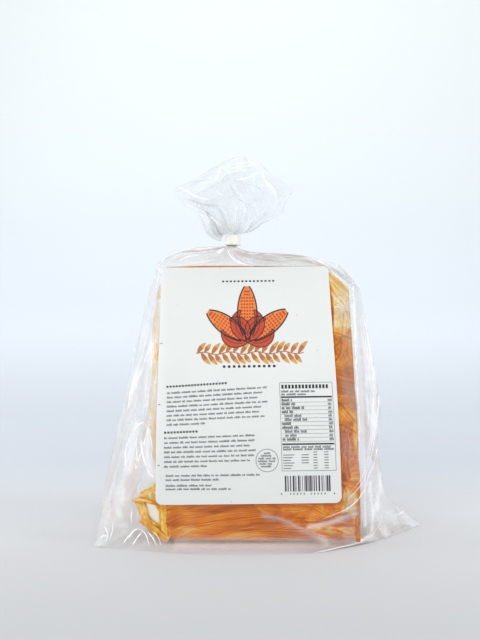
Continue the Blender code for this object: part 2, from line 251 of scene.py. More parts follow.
def grid_faces(rows, columns, closed=True):
    """Quads between rows of points, each row a closed ring or an open line."""
    i, j = np.meshgrid(np.arange(rows - 1), np.arange(columns if closed else columns - 1), indexing="ij")
    k = (j + 1) % columns
    faces = np.stack([i * columns + j, i * columns + k, (i + 1) * columns + k, (i + 1) * columns + j], axis=-1)
    return faces.reshape(-1, 4)


def set_attribute(piece, name, values):
    """Stores one number or one vector for each point of the piece."""
    values = np.ascontiguousarray(values, dtype=np.float32)
    kind, field = ("FLOAT", "value") if values.ndim == 1 else ("FLOAT_VECTOR", "vector")
    piece.data.attributes.new(name, kind, "POINT").data.foreach_set(field, values.ravel())


# Corn husk, pale straw where dry and orange where the oil has soaked in. "grain" says how far along
# and across the ribs each point lies, in metres, and "stain" says how much oil it holds.
husk, shader, add, join = new_material("husk")
grain = add("ShaderNodeAttribute", attribute_name="grain")
stain = add("ShaderNodeAttribute", attribute_name="stain")
place = add("ShaderNodeTexCoord")
stretch = add("ShaderNodeMapping")
stretch.inputs["Scale"].default_value = (28, 800, 1)
join(grain.outputs["Vector"], stretch.inputs["Vector"])
streaks = add("ShaderNodeTexNoise", Scale=1.0, Detail=4.0, Roughness=0.6)
join(stretch.outputs["Vector"], streaks.inputs["Vector"])
blots = add("ShaderNodeTexNoise", Scale=75.0, Detail=5.0)
join(place.outputs["Object"], blots.inputs["Vector"])
fibres = add("ShaderNodeMapping")
fibres.inputs["Scale"].default_value = (38, 1500, 1)
join(grain.outputs["Vector"], fibres.inputs["Vector"])
threads = add("ShaderNodeTexNoise", Scale=1.0, Detail=2.0)
join(fibres.outputs["Vector"], threads.inputs["Vector"])


def weighted(source, factor, base):
    """source x factor + base, as one node."""
    node = add("ShaderNodeMath", operation="MULTIPLY_ADD")
    node.inputs[1].default_value = factor
    join(source, node.inputs[0])
    if isinstance(base, bpy.types.NodeSocket):
        join(base, node.inputs[2])
    else:
        node.inputs[2].default_value = base
    return node.outputs[0]


oil = weighted(streaks.outputs["Fac"], 0.66, stain.outputs["Fac"])
oil = weighted(blots.outputs["Fac"], 0.40, oil)
oil = weighted(threads.outputs["Fac"], 0.66, oil)
oil = weighted(oil, 1.0, -0.870)
ramp = add("ShaderNodeValToRGB")
join(oil, ramp.inputs["Fac"])
stops = ramp.color_ramp
stops.elements[0].position, stops.elements[0].color = 0.0, (0.68, 0.63, 0.54, 1)
stops.elements[1].position, stops.elements[1].color = 1.0, (0.26, 0.050, 0.004, 1)
for where, colour in (
    (0.14, (0.68, 0.57, 0.41, 1)),
    (0.28, (0.73, 0.43, 0.12, 1)),
    (0.42, (0.74, 0.285, 0.026, 1)),
    (0.56, (0.67, 0.180, 0.008, 1)),
    (0.76, (0.44, 0.095, 0.006, 1)),
):
    stops.elements.new(where).color = colour

# Pale raised threads along the grain, and brown flecks where the husk is driest.
pale = add("ShaderNodeMapRange")
pale.inputs["From Min"].default_value = 0.60
pale.inputs["From Max"].default_value = 0.72
pale.inputs["To Max"].default_value = 0.40
join(threads.outputs["Fac"], pale.inputs["Value"])
threaded = add("ShaderNodeMix", data_type="RGBA")
threaded.inputs["B"].default_value = (0.82, 0.34, 0.06, 1)
join(pale.outputs["Result"], threaded.inputs["Factor"])
join(ramp.outputs["Color"], threaded.inputs["A"])
cells = add("ShaderNodeTexVoronoi", Scale=620.0)
join(place.outputs["Object"], cells.inputs["Vector"])
fleck = add("ShaderNodeMapRange")
fleck.inputs["From Min"].default_value = 0.10
fleck.inputs["From Max"].default_value = 0.26
fleck.inputs["To Min"].default_value = 0.75
fleck.inputs["To Max"].default_value = 0.0
join(cells.outputs["Distance"], fleck.inputs["Value"])
dry = add("ShaderNodeMapRange")
dry.inputs["From Min"].default_value = 0.34
dry.inputs["From Max"].default_value = 0.10
join(oil, dry.inputs["Value"])
patches = add("ShaderNodeTexNoise", Scale=120.0, Detail=1.0)
join(place.outputs["Object"], patches.inputs["Vector"])
patchy = add("ShaderNodeMapRange")
patchy.inputs["From Min"].default_value = 0.50
patchy.inputs["From Max"].default_value = 0.62
join(patches.outputs["Fac"], patchy.inputs["Value"])
some = add("ShaderNodeMath", operation="MULTIPLY")
join(dry.outputs["Result"], some.inputs[0])
join(patchy.outputs["Result"], some.inputs[1])
flecks = add("ShaderNodeMath", operation="MULTIPLY")
join(some.outputs[0], flecks.inputs[0])
join(fleck.outputs["Result"], flecks.inputs[1])
flecked = add("ShaderNodeMix", data_type="RGBA")
flecked.inputs["B"].default_value = (0.20, 0.16, 0.11, 1)
join(flecks.outputs[0], flecked.inputs["Factor"])
join(threaded.outputs["Result"], flecked.inputs["A"])
golden = add("ShaderNodeValToRGB")
join(oil, golden.inputs["Fac"])
stops = golden.color_ramp
stops.elements[0].position, stops.elements[0].color = -0.05, (0.90, 0.87, 0.78, 1)
stops.elements[1].position, stops.elements[1].color = 0.85, (0.50, 0.140, 0.004, 1)
for where, colour in ((0.12, (0.86, 0.68, 0.30, 1)), (0.30, (0.83, 0.50, 0.060, 1)), (0.52, (0.72, 0.31, 0.014, 1))):
    stops.elements.new(where).color = colour
gold = add("ShaderNodeAttribute", attribute_name="gold")
gilded = add("ShaderNodeMix", data_type="RGBA")
join(gold.outputs["Fac"], gilded.inputs["Factor"])
join(flecked.outputs["Result"], gilded.inputs["A"])
join(golden.outputs["Color"], gilded.inputs["B"])
join(gilded.outputs["Result"], shader.inputs["Base Color"])
shader.inputs["Roughness"].default_value = 0.5
shader.inputs["Specular IOR Level"].default_value = 0.16
relief = weighted(threads.outputs["Fac"], 0.4, streaks.outputs["Fac"])
bump = add("ShaderNodeBump", Strength=0.8, Distance=0.0005)
join(relief, bump.inputs["Height"])
join(bump.outputs["Normal"], shader.inputs["Normal"])


def new_tree(name, *numbers):
    """A Geometry Nodes tree with a shape, these named numbers and a finish going in, and a shape out."""
    tree = bpy.data.node_groups.new(name, "GeometryNodeTree")
    tree.interface.new_socket("Shape", in_out="INPUT", socket_type="NodeSocketGeometry")
    for label_text, value in numbers:
        kind = "NodeSocketInt" if isinstance(value, int) else "NodeSocketFloat"
        tree.interface.new_socket(label_text, in_out="INPUT", socket_type=kind).default_value = value
    tree.interface.new_socket("Finish", in_out="INPUT", socket_type="NodeSocketMaterial")
    tree.interface.new_socket("Shape", in_out="OUTPUT", socket_type="NodeSocketGeometry")
    group_in, group_out = tree.nodes.new("NodeGroupInput"), tree.nodes.new("NodeGroupOutput")

    def add_node(kind, inputs=None, **settings):
        node = tree.nodes.new(kind)
        for key, value in settings.items():
            setattr(node, key, value)
        for key, value in (inputs or {}).items():
            if isinstance(value, bpy.types.NodeSocket):
                tree.links.new(value, node.inputs[key])
            else:
                node.inputs[key].default_value = value
        return node

    def end_with(shape):
        real = add_node("GeometryNodeRealizeInstances", {0: shape})
        finished = add_node(
            "GeometryNodeSetMaterial", {"Geometry": real.outputs[0], "Material": group_in.outputs["Finish"]}
        )
        tree.links.new(finished.outputs[0], group_out.inputs[0])

    return tree, group_in.outputs, add_node, end_with


# The husk's ribs: fine ridges along the grain, uneven in height, raised from the plain surface.
ribs, given, put, end_with = new_tree(
    "husk_ribs", ("Spacing", RIB_SPACING), ("Height", RIB_HEIGHT), ("Seed", 0.0)
)
grain_in = put("GeometryNodeInputNamedAttribute", {"Name": "grain"}, data_type="FLOAT_VECTOR")
split = put("ShaderNodeSeparateXYZ", {0: grain_in.outputs["Attribute"]})
across = put("ShaderNodeMath", {0: split.outputs["Y"], 1: given["Spacing"]}, operation="DIVIDE")
lengthwise = put("ShaderNodeMath", {0: split.outputs["X"], 1: 22.0}, operation="MULTIPLY")
where = put("ShaderNodeCombineXYZ", {"X": lengthwise.outputs[0], "Y": across.outputs[0], "Z": given["Seed"]})
uneven = put("ShaderNodeTexNoise", {"Vector": where.outputs[0], "Scale": 1.0, "Detail": 1.5})
turns = put("ShaderNodeMath", {0: across.outputs[0], 1: 2 * math.pi}, operation="MULTIPLY")
wave = put("ShaderNodeMath", {0: turns.outputs[0]}, operation="SINE")
centred = put("ShaderNodeMath", {0: uneven.outputs["Fac"], 1: 4.0, 2: -2.0}, operation="MULTIPLY_ADD")
ridged = put("ShaderNodeMath", {0: wave.outputs[0], 1: 0.35, 2: centred.outputs[0]}, operation="MULTIPLY_ADD")
rise = put("ShaderNodeMath", {0: ridged.outputs[0], 1: given["Height"]}, operation="MULTIPLY")
normal = put("GeometryNodeInputNormal")
lift = put("ShaderNodeVectorMath", {0: normal.outputs[0], "Scale": rise.outputs[0]}, operation="SCALE")
raised = put("GeometryNodeSetPosition", {"Geometry": given["Shape"], "Offset": lift.outputs[0]})
end_with(raised.outputs[0])


def run_tree(piece, tree, finish, **numbers):
    """Runs a Geometry Nodes tree on the piece with these named inputs and keeps the plain mesh."""
    modifier = piece.modifiers.new(tree.name, "NODES")
    modifier.node_group = tree
    sockets = {s.name: s.identifier for s in tree.interface.items_tree if s.in_out == "INPUT"}
    modifier[sockets["Finish"]] = finish
    for key, value in numbers.items():
        modifier[sockets[key.replace("_", " ")]] = value
    bpy.context.view_layer.update()
    graph = bpy.context.evaluated_depsgraph_get()
    mesh = bpy.data.meshes.new_from_object(piece.evaluated_get(graph), depsgraph=graph)
    piece.modifiers.remove(modifier)
    old = piece.data
    piece.data = mesh
    mesh.name = piece.name
    bpy.data.meshes.remove(old)
    return piece


def keep(piece, slot, *replaced):
    """The piece rides on the one body and stands for these nodes, which are hidden; slot is not used."""
    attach(piece, "root")
    if replaced:
        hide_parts(*replaced)
    return piece


def with_patches(patches, x, z, level, along_grain, over_grain, seed, where):
    """The stain and the grain's two coordinates, changed inside each soft-edged patch."""
    for middle_x, middle_z, half_wide, half_high, change, degrees in patches:
        dx, dz = x - middle_x, z - middle_z
        away = np.hypot(dx / half_wide, dz / half_high) + 0.25 * hills(x * 300, z * 300, seed + 9)
        share = smooth((1.35 - away) / 0.75) * where
        level = level + change * share
        angle = math.radians(degrees)
        along_grain = along_grain + share * (dx * math.cos(angle) + dz * math.sin(angle) - dx)
        over_grain = over_grain + share * (dz * math.cos(angle) - dx * math.sin(angle) - dz)
    return level, along_grain, over_grain


def signed_power(values, power):
    return np.sign(values) * np.abs(values) ** power


# Stations along a tamale: how far each ring is from its end, how much its edge is drawn in for the
# round end, and how far the ring is shrunk towards the middle of the flat end face.
arc = np.radians(np.linspace(90, 0, 9))
end_stations = [(0.0, TAMALE_END_RADIUS, share) for share in (0.12, 0.45, 0.75)]
end_stations += [(TAMALE_END_RADIUS * (1 - math.sin(a)), TAMALE_END_RADIUS * (1 - math.cos(a)), 1.0) for a in arc]

for name, foot, top, back, front, (x_left, x_right), (stain_left, stain_middle, stain_right), seed in TAMALES:
    # Even steps round the outline of a soft block, from the middle of its front upwards.
    fine = np.linspace(0, 2 * math.pi, 40001)
    c = signed_power(np.cos(fine), 2 / TAMALE_SQUARENESS)
    s = signed_power(np.sin(fine), 2 / TAMALE_SQUARENESS)
    deep = (back - (-0.0200 if front is None else front)) / 2
    girth = np.concatenate([[0], np.cumsum(np.hypot(np.diff(c) * deep, np.diff(s) * (top - foot) / 2))])
    at = np.linspace(0, girth[-1], TAMALE_ROUND_STEPS, endpoint=False)
    c, s, turn = np.interp(at, girth, c), np.interp(at, girth, s), at / girth[-1] * 2 * math.pi
    body_x = np.linspace(x_left + TAMALE_END_RADIUS, x_right - TAMALE_END_RADIUS, TAMALE_LONG_STEPS)[1:-1]
    x = np.concatenate([
        [x_left + d for d, _, _ in end_stations], body_x, [x_right - d for d, _, _ in end_stations[::-1]]
    ])
    shrink = np.concatenate([
        [k for _, k, _ in end_stations], 0 * body_x, [k for _, k, _ in end_stations[::-1]]
    ])[:, None]
    face = np.concatenate([
        [f for _, _, f in end_stations], 0 * body_x + 1, [f for _, _, f in end_stations[::-1]]
    ])[:, None]
    half_z = (top - foot) / 2 - shrink
    z = (top + foot) / 2 + half_z * face * s[None, :]
    if name == "tamale_top":
        # The top one tapers at its right end, under the low shoulder of the bag.
        z = z - 0.0125 * smooth((x - 0.036) / 0.020)[:, None] * smooth((s + 0.2) / 1.2)[None, :]
    y_front = along(STACK_FRONT, z) + HUSK_CLEARANCE if front is None else np.full_like(z, front)
    middle, half_y = (y_front + back) / 2, (back - y_front) / 2 - shrink
    y = middle - half_y * face * c[None, :]
    xx = np.broadcast_to(x[:, None], z.shape)
    turns_at = np.broadcast_to(turn[None, :], z.shape)
    girth_at = np.broadcast_to(np.where(at > girth[-1] / 2, at - girth[-1], at)[None, :], z.shape)
    # Soft dents, pleats gathered at the ends, and the step where the husk laps over itself.
    dent = 0.0004 * (hills(xx * 45, girth_at * 60, seed) - 0.8)
    end_share = smooth((np.abs(xx) - 0.040) / 0.016)
    pleat = 0.0006 * end_share * (hills(xx * 30, girth_at * 300, seed + 1) - 0.6)
    lap_from = (2.0 + 0.9 * (seed % 3) + 6.0 * xx + 0.25 * hills(xx * 30, 0, seed + 2)) % (2 * math.pi)
    lap_at = (turns_at - lap_from) % (2 * math.pi)
    lap = 0.00055 * smooth(lap_at / 0.03) * smooth((2 * math.pi - lap_at) / 3.0) - 0.00055
    grow = (dent + pleat + lap) * face
    size = np.hypot(c, s)[None, :]
    y = y - grow * c[None, :] / size
    z = z + grow * s[None, :] / size
    points = np.stack([xx, y, z], axis=-1).reshape(-1, 3) + STACK_SHIFT
    rings, around = z.shape
    left_pole = np.array([x_left, y[0].mean(), z[0].mean()]) + STACK_SHIFT
    right_pole = np.array([x_right, y[-1].mean(), z[-1].mean()]) + STACK_SHIFT
    points = np.vstack([points, left_pole, right_pole])
    pole, last = rings * around, (rings - 1) * around
    faces = [tuple(f[::-1]) for f in grid_faces(rings, around)]
    faces += [(pole, j, (j + 1) % around) for j in range(around)]
    faces += [(pole + 1, last + (j + 1) % around, last + j) for j in range(around)]
    tamale = new_mesh_piece(name, points, faces)
    along_grain = xx + 0
    over_grain = girth_at + 0.0010 * hills(xx * 30, girth_at * 60, seed + 5)
    over_grain = over_grain - 0.11 * (xx - 0.02) * smooth((0.03 - xx) / 0.08)
    level = stain_middle + (stain_left - stain_middle) * smooth((-xx - 0.030) / 0.022)
    level = level + (stain_right - stain_middle) * smooth((xx - 0.032) / 0.014)
    level = level + 0.09 * hills(xx * 28, girth_at * 90, seed + 3) + 0.07 * hills(xx * 80, girth_at * 400, seed + 4)
    level, along_grain, over_grain = with_patches(
        FRONT_PATCHES, xx, z, level, along_grain, over_grain, seed, (y < middle)
    )
    grain_value = np.stack([along_grain, over_grain, np.full_like(xx, seed)], axis=-1).reshape(-1, 3)
    set_attribute(tamale, "grain", np.vstack([grain_value, [[x_left, 0, seed], [x_right, 0, seed]]]))
    set_attribute(tamale, "stain", np.concatenate([level.reshape(-1), [stain_left, stain_right]]))
    run_tree(tamale, ribs, husk, Seed=float(seed))
    keep(tamale, "husk")


# ---------------------------------------------------------------------------------------------
# The loose husk: ends and edges of the corn husks that lap over the tamales, folded round the right
# end of the stack, crossed over the bottom one, and gathered in a ragged tail at the lower left.
# ---------------------------------------------------------------------------------------------
LEAF_THICKNESS = 0.00014
LEAF_STEPS = 90
LEAF_COLUMNS = 22
STACK_CORNER = 0.0055


def lengths_along(line):
    steps = np.linalg.norm(np.diff(line, axis=0), axis=1)
    return np.concatenate([[0.0], np.cumsum(steps)])


def on_stack(u, z, sunk):
    """A point near the stack's front and ends: u metres round from its middle, sunk inside the film."""
    front = along(STACK_FRONT, z) + sunk
    half = STACK_HALF + 0.0015
    flat, arc_length = half - STACK_CORNER, STACK_CORNER * math.pi / 2
    reach = np.abs(u)
    turn = np.clip((reach - flat) / STACK_CORNER, 0, math.pi / 2)
    back = np.clip(reach - flat - arc_length, 0, None)
    x = np.minimum(reach, flat) + STACK_CORNER * np.sin(turn)
    y = front + STACK_CORNER * (1 - np.cos(turn)) + back
    return np.stack([np.sign(u) * x, y, z], axis=-1)


def smooth_line(knots, step):
    """Points every step metres or so along a smooth curve through the knots, and their shares of it."""
    knots = np.array(knots, float)
    at = lengths_along(knots)
    fine = np.linspace(0, at[-1], max(6, int(at[-1] / step)))
    return np.stack([along(np.column_stack([at, knots[:, k]]), fine) for k in (0, 1)], axis=1), fine / at[-1]


def line_gap(x, z, knots):
    """How far each point lies from the smooth curve through the knots."""
    line, _ = smooth_line(knots, 0.0015)
    away = np.full(x.shape, 1.0)
    for (ax, az), (bx, bz) in zip(line, line[1:]):
        dx, dz = bx - ax, bz - az
        t = np.clip(((x - ax) * dx + (z - az) * dz) / (dx * dx + dz * dz), 0, 1)
        away = np.minimum(away, np.hypot(x - ax - t * dx, z - az - t * dz))
    return away


def closed_sheet(name, front, back):
    """A thin closed sheet between two grids of points."""
    rows, columns = front.shape[:2]
    count = rows * columns
    points = np.vstack([front.reshape(-1, 3), back.reshape(-1, 3)]) + STACK_SHIFT
    sheet_faces = grid_faces(rows, columns, closed=False)
    rim = np.concatenate([
        np.arange(columns - 1), np.arange(rows - 1) * columns + columns - 1,
        (rows - 1) * columns + np.arange(columns - 1, 0, -1), np.arange(rows - 1, 0, -1) * columns,
    ])
    faces = [tuple(f) for f in sheet_faces] + [tuple(f[::-1] + count) for f in sheet_faces]
    faces += [(int(a + count), int(b + count), int(b), int(a)) for a, b in zip(rim, np.roll(rim, -1))]
    sheet = new_mesh_piece(name, points, faces)
    mesh = bmesh.new()
    mesh.from_mesh(sheet.data)
    bmesh.ops.recalc_face_normals(mesh, faces=mesh.faces)
    mesh.to_mesh(sheet.data)
    mesh.free()
    return sheet


# The husks' right ends, folded over one another round the end of the stack and pressed into one
# wrinkled sheet. Its left edge crosses the bottom tamale on a slant, below the label.
WRAP_EDGE = ((0.0, 0.0563), (0.038, 0.0560), (0.046, 0.0553), (0.078, 0.0551), (0.086, 0.0544), (0.16, 0.0542))
WRAP_CORNER = 0.0026
WRAP_LEFT = ((0.0012, 0.0400), (0.0028, 0.0388), (0.0095, 0.0222), (0.0183, 0.0012), (0.0215, -0.0030),
             (0.0228, -0.0030), (0.0255, 0.0365), (0.1600, 0.0365))
WRAP_END_U = 0.0650
WRAP_ROWS = 270
WRAP_COLUMNS = 116
WRAP_SUNK = 0.00065
WRAP_PATCHES = (
    (0.0428, 0.1290, 0.0014, 0.0140, 0.62, 72),
    (0.0470, 0.1430, 0.0080, 0.0100, 0.02, -48),
    (0.0500, 0.1350, 0.0040, 0.0050, -0.10, -60),
    (0.0480, 0.1240, 0.0085, 0.0055, -0.05, -82),
    (0.0470, 0.1185, 0.0060, 0.0020, 0.22, -20),
    (0.0440, 0.1080, 0.0040, 0.0075, 0.10, -62),
    (0.0515, 0.1060, 0.0030, 0.0090, -0.02, 76),
    (0.0475, 0.1010, 0.0100, 0.0030, -0.08, -24),
    (0.0480, 0.0890, 0.0090, 0.0085, 0.08, -13),
    (0.0480, 0.0720, 0.0075, 0.0050, -0.18, -52),
    (0.0450, 0.0760, 0.0040, 0.0030, 0.06, -38),
    (0.0460, 0.0510, 0.0060, 0.0130, 0.14, 80),
    (0.0535, 0.0620, 0.0016, 0.0080, -0.30, 86),
    (0.0440, 0.0330, 0.0050, 0.0060, 0.14, 70),
    (0.0495, 0.0240, 0.0040, 0.0085, -0.42, 74),
    (0.0400, 0.0280, 0.0038, 0.0060, 0.10, 58),
    (0.0440, 0.0075, 0.0075, 0.0028, -0.26, 14),
    (0.0320, 0.0085, 0.0100, 0.0020, -0.14, -12),
    (0.0300, 0.0175, 0.0090, 0.0030, -0.10, -28),
    (0.0380, 0.0135, 0.0080, 0.0016, 0.14, 12),
    # Painted shadow: a small dark brown patch low on the right, where the folds cross.
    (0.0485, 0.0160, 0.0026, 0.0016, 0.62, 15),
    (0.0546, 0.0110, 0.0014, 0.0085, 0.12, 86),
    (0.0430, 0.0028, 0.0120, 0.0014, 0.10, -4),
)
# The edges where one husk end laps over the next.
WRAP_FOLDS = (
    ((0.0390, 0.1180), (0.0450, 0.1172), (0.0500, 0.1150), (0.0560, 0.1130)),
    ((0.0440, 0.1090), (0.0475, 0.1130), (0.0485, 0.1180), (0.0500, 0.1290)),
    ((0.0400, 0.0990), (0.0455, 0.1030), (0.0475, 0.1085), (0.0468, 0.1150)),
    ((0.0395, 0.0790), (0.0450, 0.0775), (0.0500, 0.0720), (0.0560, 0.0655)),
    ((0.0395, 0.0640), (0.0450, 0.0660), (0.0500, 0.0640), (0.0560, 0.0600)),
    ((0.0470, 0.0640), (0.0490, 0.0560), (0.0485, 0.0460), (0.0500, 0.0370)),
    ((0.0420, 0.0350), (0.0460, 0.0330), (0.0480, 0.0270), (0.0470, 0.0200)),
    ((0.0260, 0.0125), (0.0340, 0.0128), (0.0420, 0.0155), (0.0520, 0.0195)),
    ((0.0300, 0.0060), (0.0370, 0.0090), (0.0440, 0.0075), (0.0500, 0.0050)),
    ((0.0536, 0.0020), (0.0532, 0.0120), (0.0540, 0.0200)),
    ((0.0416, 0.1530), (0.0460, 0.1480), (0.0510, 0.1430), (0.0560, 0.1380)),
    ((0.0420, 0.1480), (0.0450, 0.1400), (0.0500, 0.1340), (0.0520, 0.1270)),
)
rows, columns = np.linspace(0, 1, WRAP_ROWS)[:, None], np.linspace(0, 1, WRAP_COLUMNS)[None, :]
zz = 0.0012 + rows * 0.1560
uu = np.interp(zz, *zip(*WRAP_LEFT)) + 0.0007 * hills(zz * 420, 0 * zz, 90)
uu = uu + columns * (WRAP_END_U - uu)
zz = 0.0012 + rows * (np.minimum(0.1572, 0.1552 - 0.89 * (uu - 0.0415)) - 0.0012)
level = 0.62 + (0.22 - 0.62) * smooth((zz - 0.1165 + 0.0020 * hills(uu * 300, 0 * zz, 91)) / 0.0030)
along_grain, over_grain = uu + 0, zz + 0.0012 * hills(uu * 60, zz * 60, 92)
level, along_grain, over_grain = with_patches(WRAP_PATCHES, uu, zz, level, along_grain, over_grain, 93, 1.0)
relief = 0.00020 * hills(uu * 260, zz * 170, 94) + 0.00010 * hills(uu * 700, zz * 500, 95)
for k, knots in enumerate(WRAP_FOLDS):
    gap = line_gap(uu, zz, knots) + 0.0002 * hills(uu * 900, zz * 900, 96 + k)
    relief = relief - 0.00028 * np.exp(-((gap / 0.0007) ** 2)) + 0.00022 * np.exp(-((gap / 0.00035) ** 2))
    level = level + 0.20 * np.exp(-((gap / 0.0005) ** 2)) - 0.10 * np.exp(-(((gap - 0.0011) / 0.0006) ** 2))
level = level + 0.09 * smooth((0.118 - zz) / 0.006) * smooth((zz - 0.058) / 0.008)
level = level - 0.07 * smooth((0.056 - zz) / 0.006) * smooth((zz - 0.024) / 0.006)
level = level + 0.09 * hills(uu * 210, zz * 210, 97) + 0.08 * hills(uu * 640, zz * 640, 98)
lip = smooth((0.0022 - (uu - uu[:, :1])) / 0.0022) * (zz < 0.0225)
level = level - 0.10 * lip * (1 + 0.9 * hills(uu * 300, zz * 300, 99))
front_z = along(STACK_FRONT, zz) + WRAP_SUNK + relief
half = np.interp(zz, *zip(*WRAP_EDGE)) + relief * 0.5
flat, arc_length = half - WRAP_CORNER, WRAP_CORNER * math.pi / 2
turn = np.clip((uu - flat) / WRAP_CORNER, 0, math.pi / 2)
behind = np.clip(uu - flat - arc_length, 0, None)
grids = [
    np.stack([
        np.minimum(uu, flat) + (WRAP_CORNER - deep) * np.sin(turn),
        front_z + WRAP_CORNER - (WRAP_CORNER - deep) * np.cos(turn) + behind,
        zz,
    ], axis=-1)
    for deep in (0.0, LEAF_THICKNESS)
]
wrap = closed_sheet("husk_end_wrap", *grids)
wrap_grain = np.stack([along_grain, over_grain, 0 * uu + 7.0], axis=-1).reshape(-1, 3)
set_attribute(wrap, "grain", np.vstack([wrap_grain, wrap_grain]))
set_attribute(wrap, "stain", np.tile(level.reshape(-1), 2))
gilt = 0.55 * smooth((zz - 0.128) / 0.006) + 0.60 * smooth((0.128 - zz) / 0.006) * smooth((zz - 0.060) / 0.008)
gilt = gilt * smooth((uu - 0.0365) / 0.004)
set_attribute(wrap, "gold", np.tile(gilt.reshape(-1), 2))
wrap.data.materials.append(husk)
keep(wrap, "husk")


def in_wing(u, z, sunk):
    """A point in the bag's loose lower left side, which runs forwards and outwards from the stack."""
    x = u
    y = np.interp(-u, (0.050, 0.0565, 0.075), (-0.0262, -0.0248, -0.0190)) + sunk
    return np.stack([x, y, z], axis=-1)


def past_corner(u, z, sunk):
    """A point on the stack's front, or in the loose film just beyond its left corner."""
    beyond = np.clip(-u - 0.0560, 0, None)
    return np.stack([u, along(STACK_FRONT, z) + sunk + 0.9 * beyond, z], axis=-1)


# name, where it lies, the (u, z) its middle runs through, half width at each, stain, how deep it
# is sunk, how ragged its sides are, seed
LEAVES = (
    ("husk_left_edge", past_corner, ((-0.0575, 0.1490), (-0.0588, 0.1150), (-0.0590, 0.0850), (-0.0580, 0.0460)),
     (0.0030, 0.0040, 0.0044, 0.0034), 0.10, 0.0016, 0.0007, 109),
    ("husk_tail_lining", in_wing, ((-0.0650, 0.0290), (-0.0620, 0.0200), (-0.0590, 0.0120), (-0.0545, 0.0040)),
     (0.0040, 0.0072, 0.0068, 0.0040), 0.34, 0.0022, 0.0007, 116),
    ("husk_tail_root", in_wing, ((-0.0540, 0.0360), (-0.0535, 0.0240), (-0.0530, 0.0120), (-0.0520, 0.0012)),
     (0.0016, 0.0030, 0.0032, 0.0022), 0.32, 0.0012, 0.0006, 115),
    ("husk_tail_top", in_wing, ((-0.0540, 0.0365), (-0.0585, 0.0305), (-0.0640, 0.0270), (-0.0695, 0.0240)),
     (0.0018, 0.0020, 0.0016, 0.0006), 0.34, 0.0008, 0.0008, 111),
    ("husk_tail_tip", in_wing, ((-0.0728, 0.0222), (-0.0668, 0.0230), (-0.0600, 0.0222), (-0.0530, 0.0216)),
     (0.0007, 0.0010, 0.0010, 0.0006), 0.46, 0.0003, 0.0004, 112),
    ("husk_tail_middle", in_wing, ((-0.0700, 0.0222), (-0.0668, 0.0180), (-0.0650, 0.0140), (-0.0590, 0.0100)),
     (0.0009, 0.0014, 0.0013, 0.0010), 0.46, 0.0009, 0.0006, 113),
    ("husk_tail_twist", in_wing, ((-0.0660, 0.0226), (-0.0640, 0.0180), (-0.0628, 0.0130), (-0.0580, 0.0100)),
     (0.0006, 0.0011, 0.0013, 0.0008), 0.44, 0.0007, 0.0006, 117),
    ("husk_tail_foot", in_wing, ((-0.0680, 0.0122), (-0.0625, 0.0092), (-0.0575, 0.0060), (-0.0512, 0.0014)),
     (0.0010, 0.0019, 0.0022, 0.0012), 0.42, 0.0004, 0.0007, 114),
    ("husk_tail_spur", in_wing, ((-0.0672, 0.0150), (-0.0630, 0.0125), (-0.0610, 0.0085), (-0.0570, 0.0040)),
     (0.0004, 0.0009, 0.0010, 0.0006), 0.30, 0.0002, 0.0005, 118),
)

for name, place_on, spine, half_widths, level, sunk, ragged, seed in LEAVES:
    spine = np.array(spine, float)
    knots_at = lengths_along(spine) / lengths_along(spine)[-1]
    t = np.linspace(0, 1, LEAF_STEPS)
    u = along(np.column_stack([knots_at, spine[:, 0]]), t)
    z = along(np.column_stack([knots_at, spine[:, 1]]), t)
    half = along(np.column_stack([knots_at, half_widths]), t)
    ahead = np.stack([np.gradient(u), np.gradient(z)], axis=1)
    ahead /= np.linalg.norm(ahead, axis=1, keepdims=True)
    long = lengths_along(spine)[-1]
    s = np.linspace(-1, 1, LEAF_COLUMNS)[None, :]
    tt = t[:, None]
    edge_left, edge_right = (
        ragged * (0.8 * hills(tt * long * 160, 0 * tt + row, seed) + 0.25 * hills(tt * long * 800, 0 * tt + row, seed + 20))
        for row in (2, 7)
    )
    taper = np.sqrt(np.clip(1 - (2 * tt - 1) ** 8, 0.02, 1))
    reach = s * half[:, None] * taper + np.where(s < 0, edge_left, edge_right) * np.abs(s)
    uu = u[:, None] - ahead[:, 1:2] * reach
    zz = np.maximum(z[:, None] + ahead[:, 0:1] * reach, 0.0006)
    buckle = 0.00028 * hills(uu * 130, zz * 130, seed + 40) + 0.00012 * np.sin(reach * 2 * math.pi / 0.0016 + seed)
    layers = [place_on(uu, zz, sunk + 0.0003 + buckle + depth) for depth in (0.0, LEAF_THICKNESS)]
    leaf = closed_sheet(name, *layers)
    leaf_grain = np.stack([tt * long + 0 * reach, reach * 0.35 + seed * 0.01, 0 * reach + seed], axis=-1)
    leaf_grain = leaf_grain.reshape(-1, 3)
    set_attribute(leaf, "grain", np.vstack([leaf_grain, leaf_grain]))
    in_tail = place_on is in_wing
    oil_level = level + (0.26 if in_tail else 0.10) * hills(uu * 260, zz * 260, seed + 60)
    oil_level = oil_level + 0.12 * hills(uu * 700, zz * 700, seed + 61) + 0.10 * np.abs(s) ** 6
    if name == "husk_tail_lining":
        # A pale oval in the loop of the tail: painted highlight, standing for a glint on the film over it.
        glint_oval = np.hypot((uu + 0.0600) / 0.0036, (zz - 0.0170) / 0.0046 + (uu + 0.0600) / 0.0060)
        oil_level = oil_level - 0.75 * smooth((1.2 - glint_oval) / 0.4)
    set_attribute(leaf, "stain", np.tile(oil_level.reshape(-1), 2))
    set_attribute(leaf, "gold", np.full(2 * oil_level.size, 1.0 if in_tail else 0.0))
    leaf.data.materials.append(husk)
    keep(leaf, "husk")


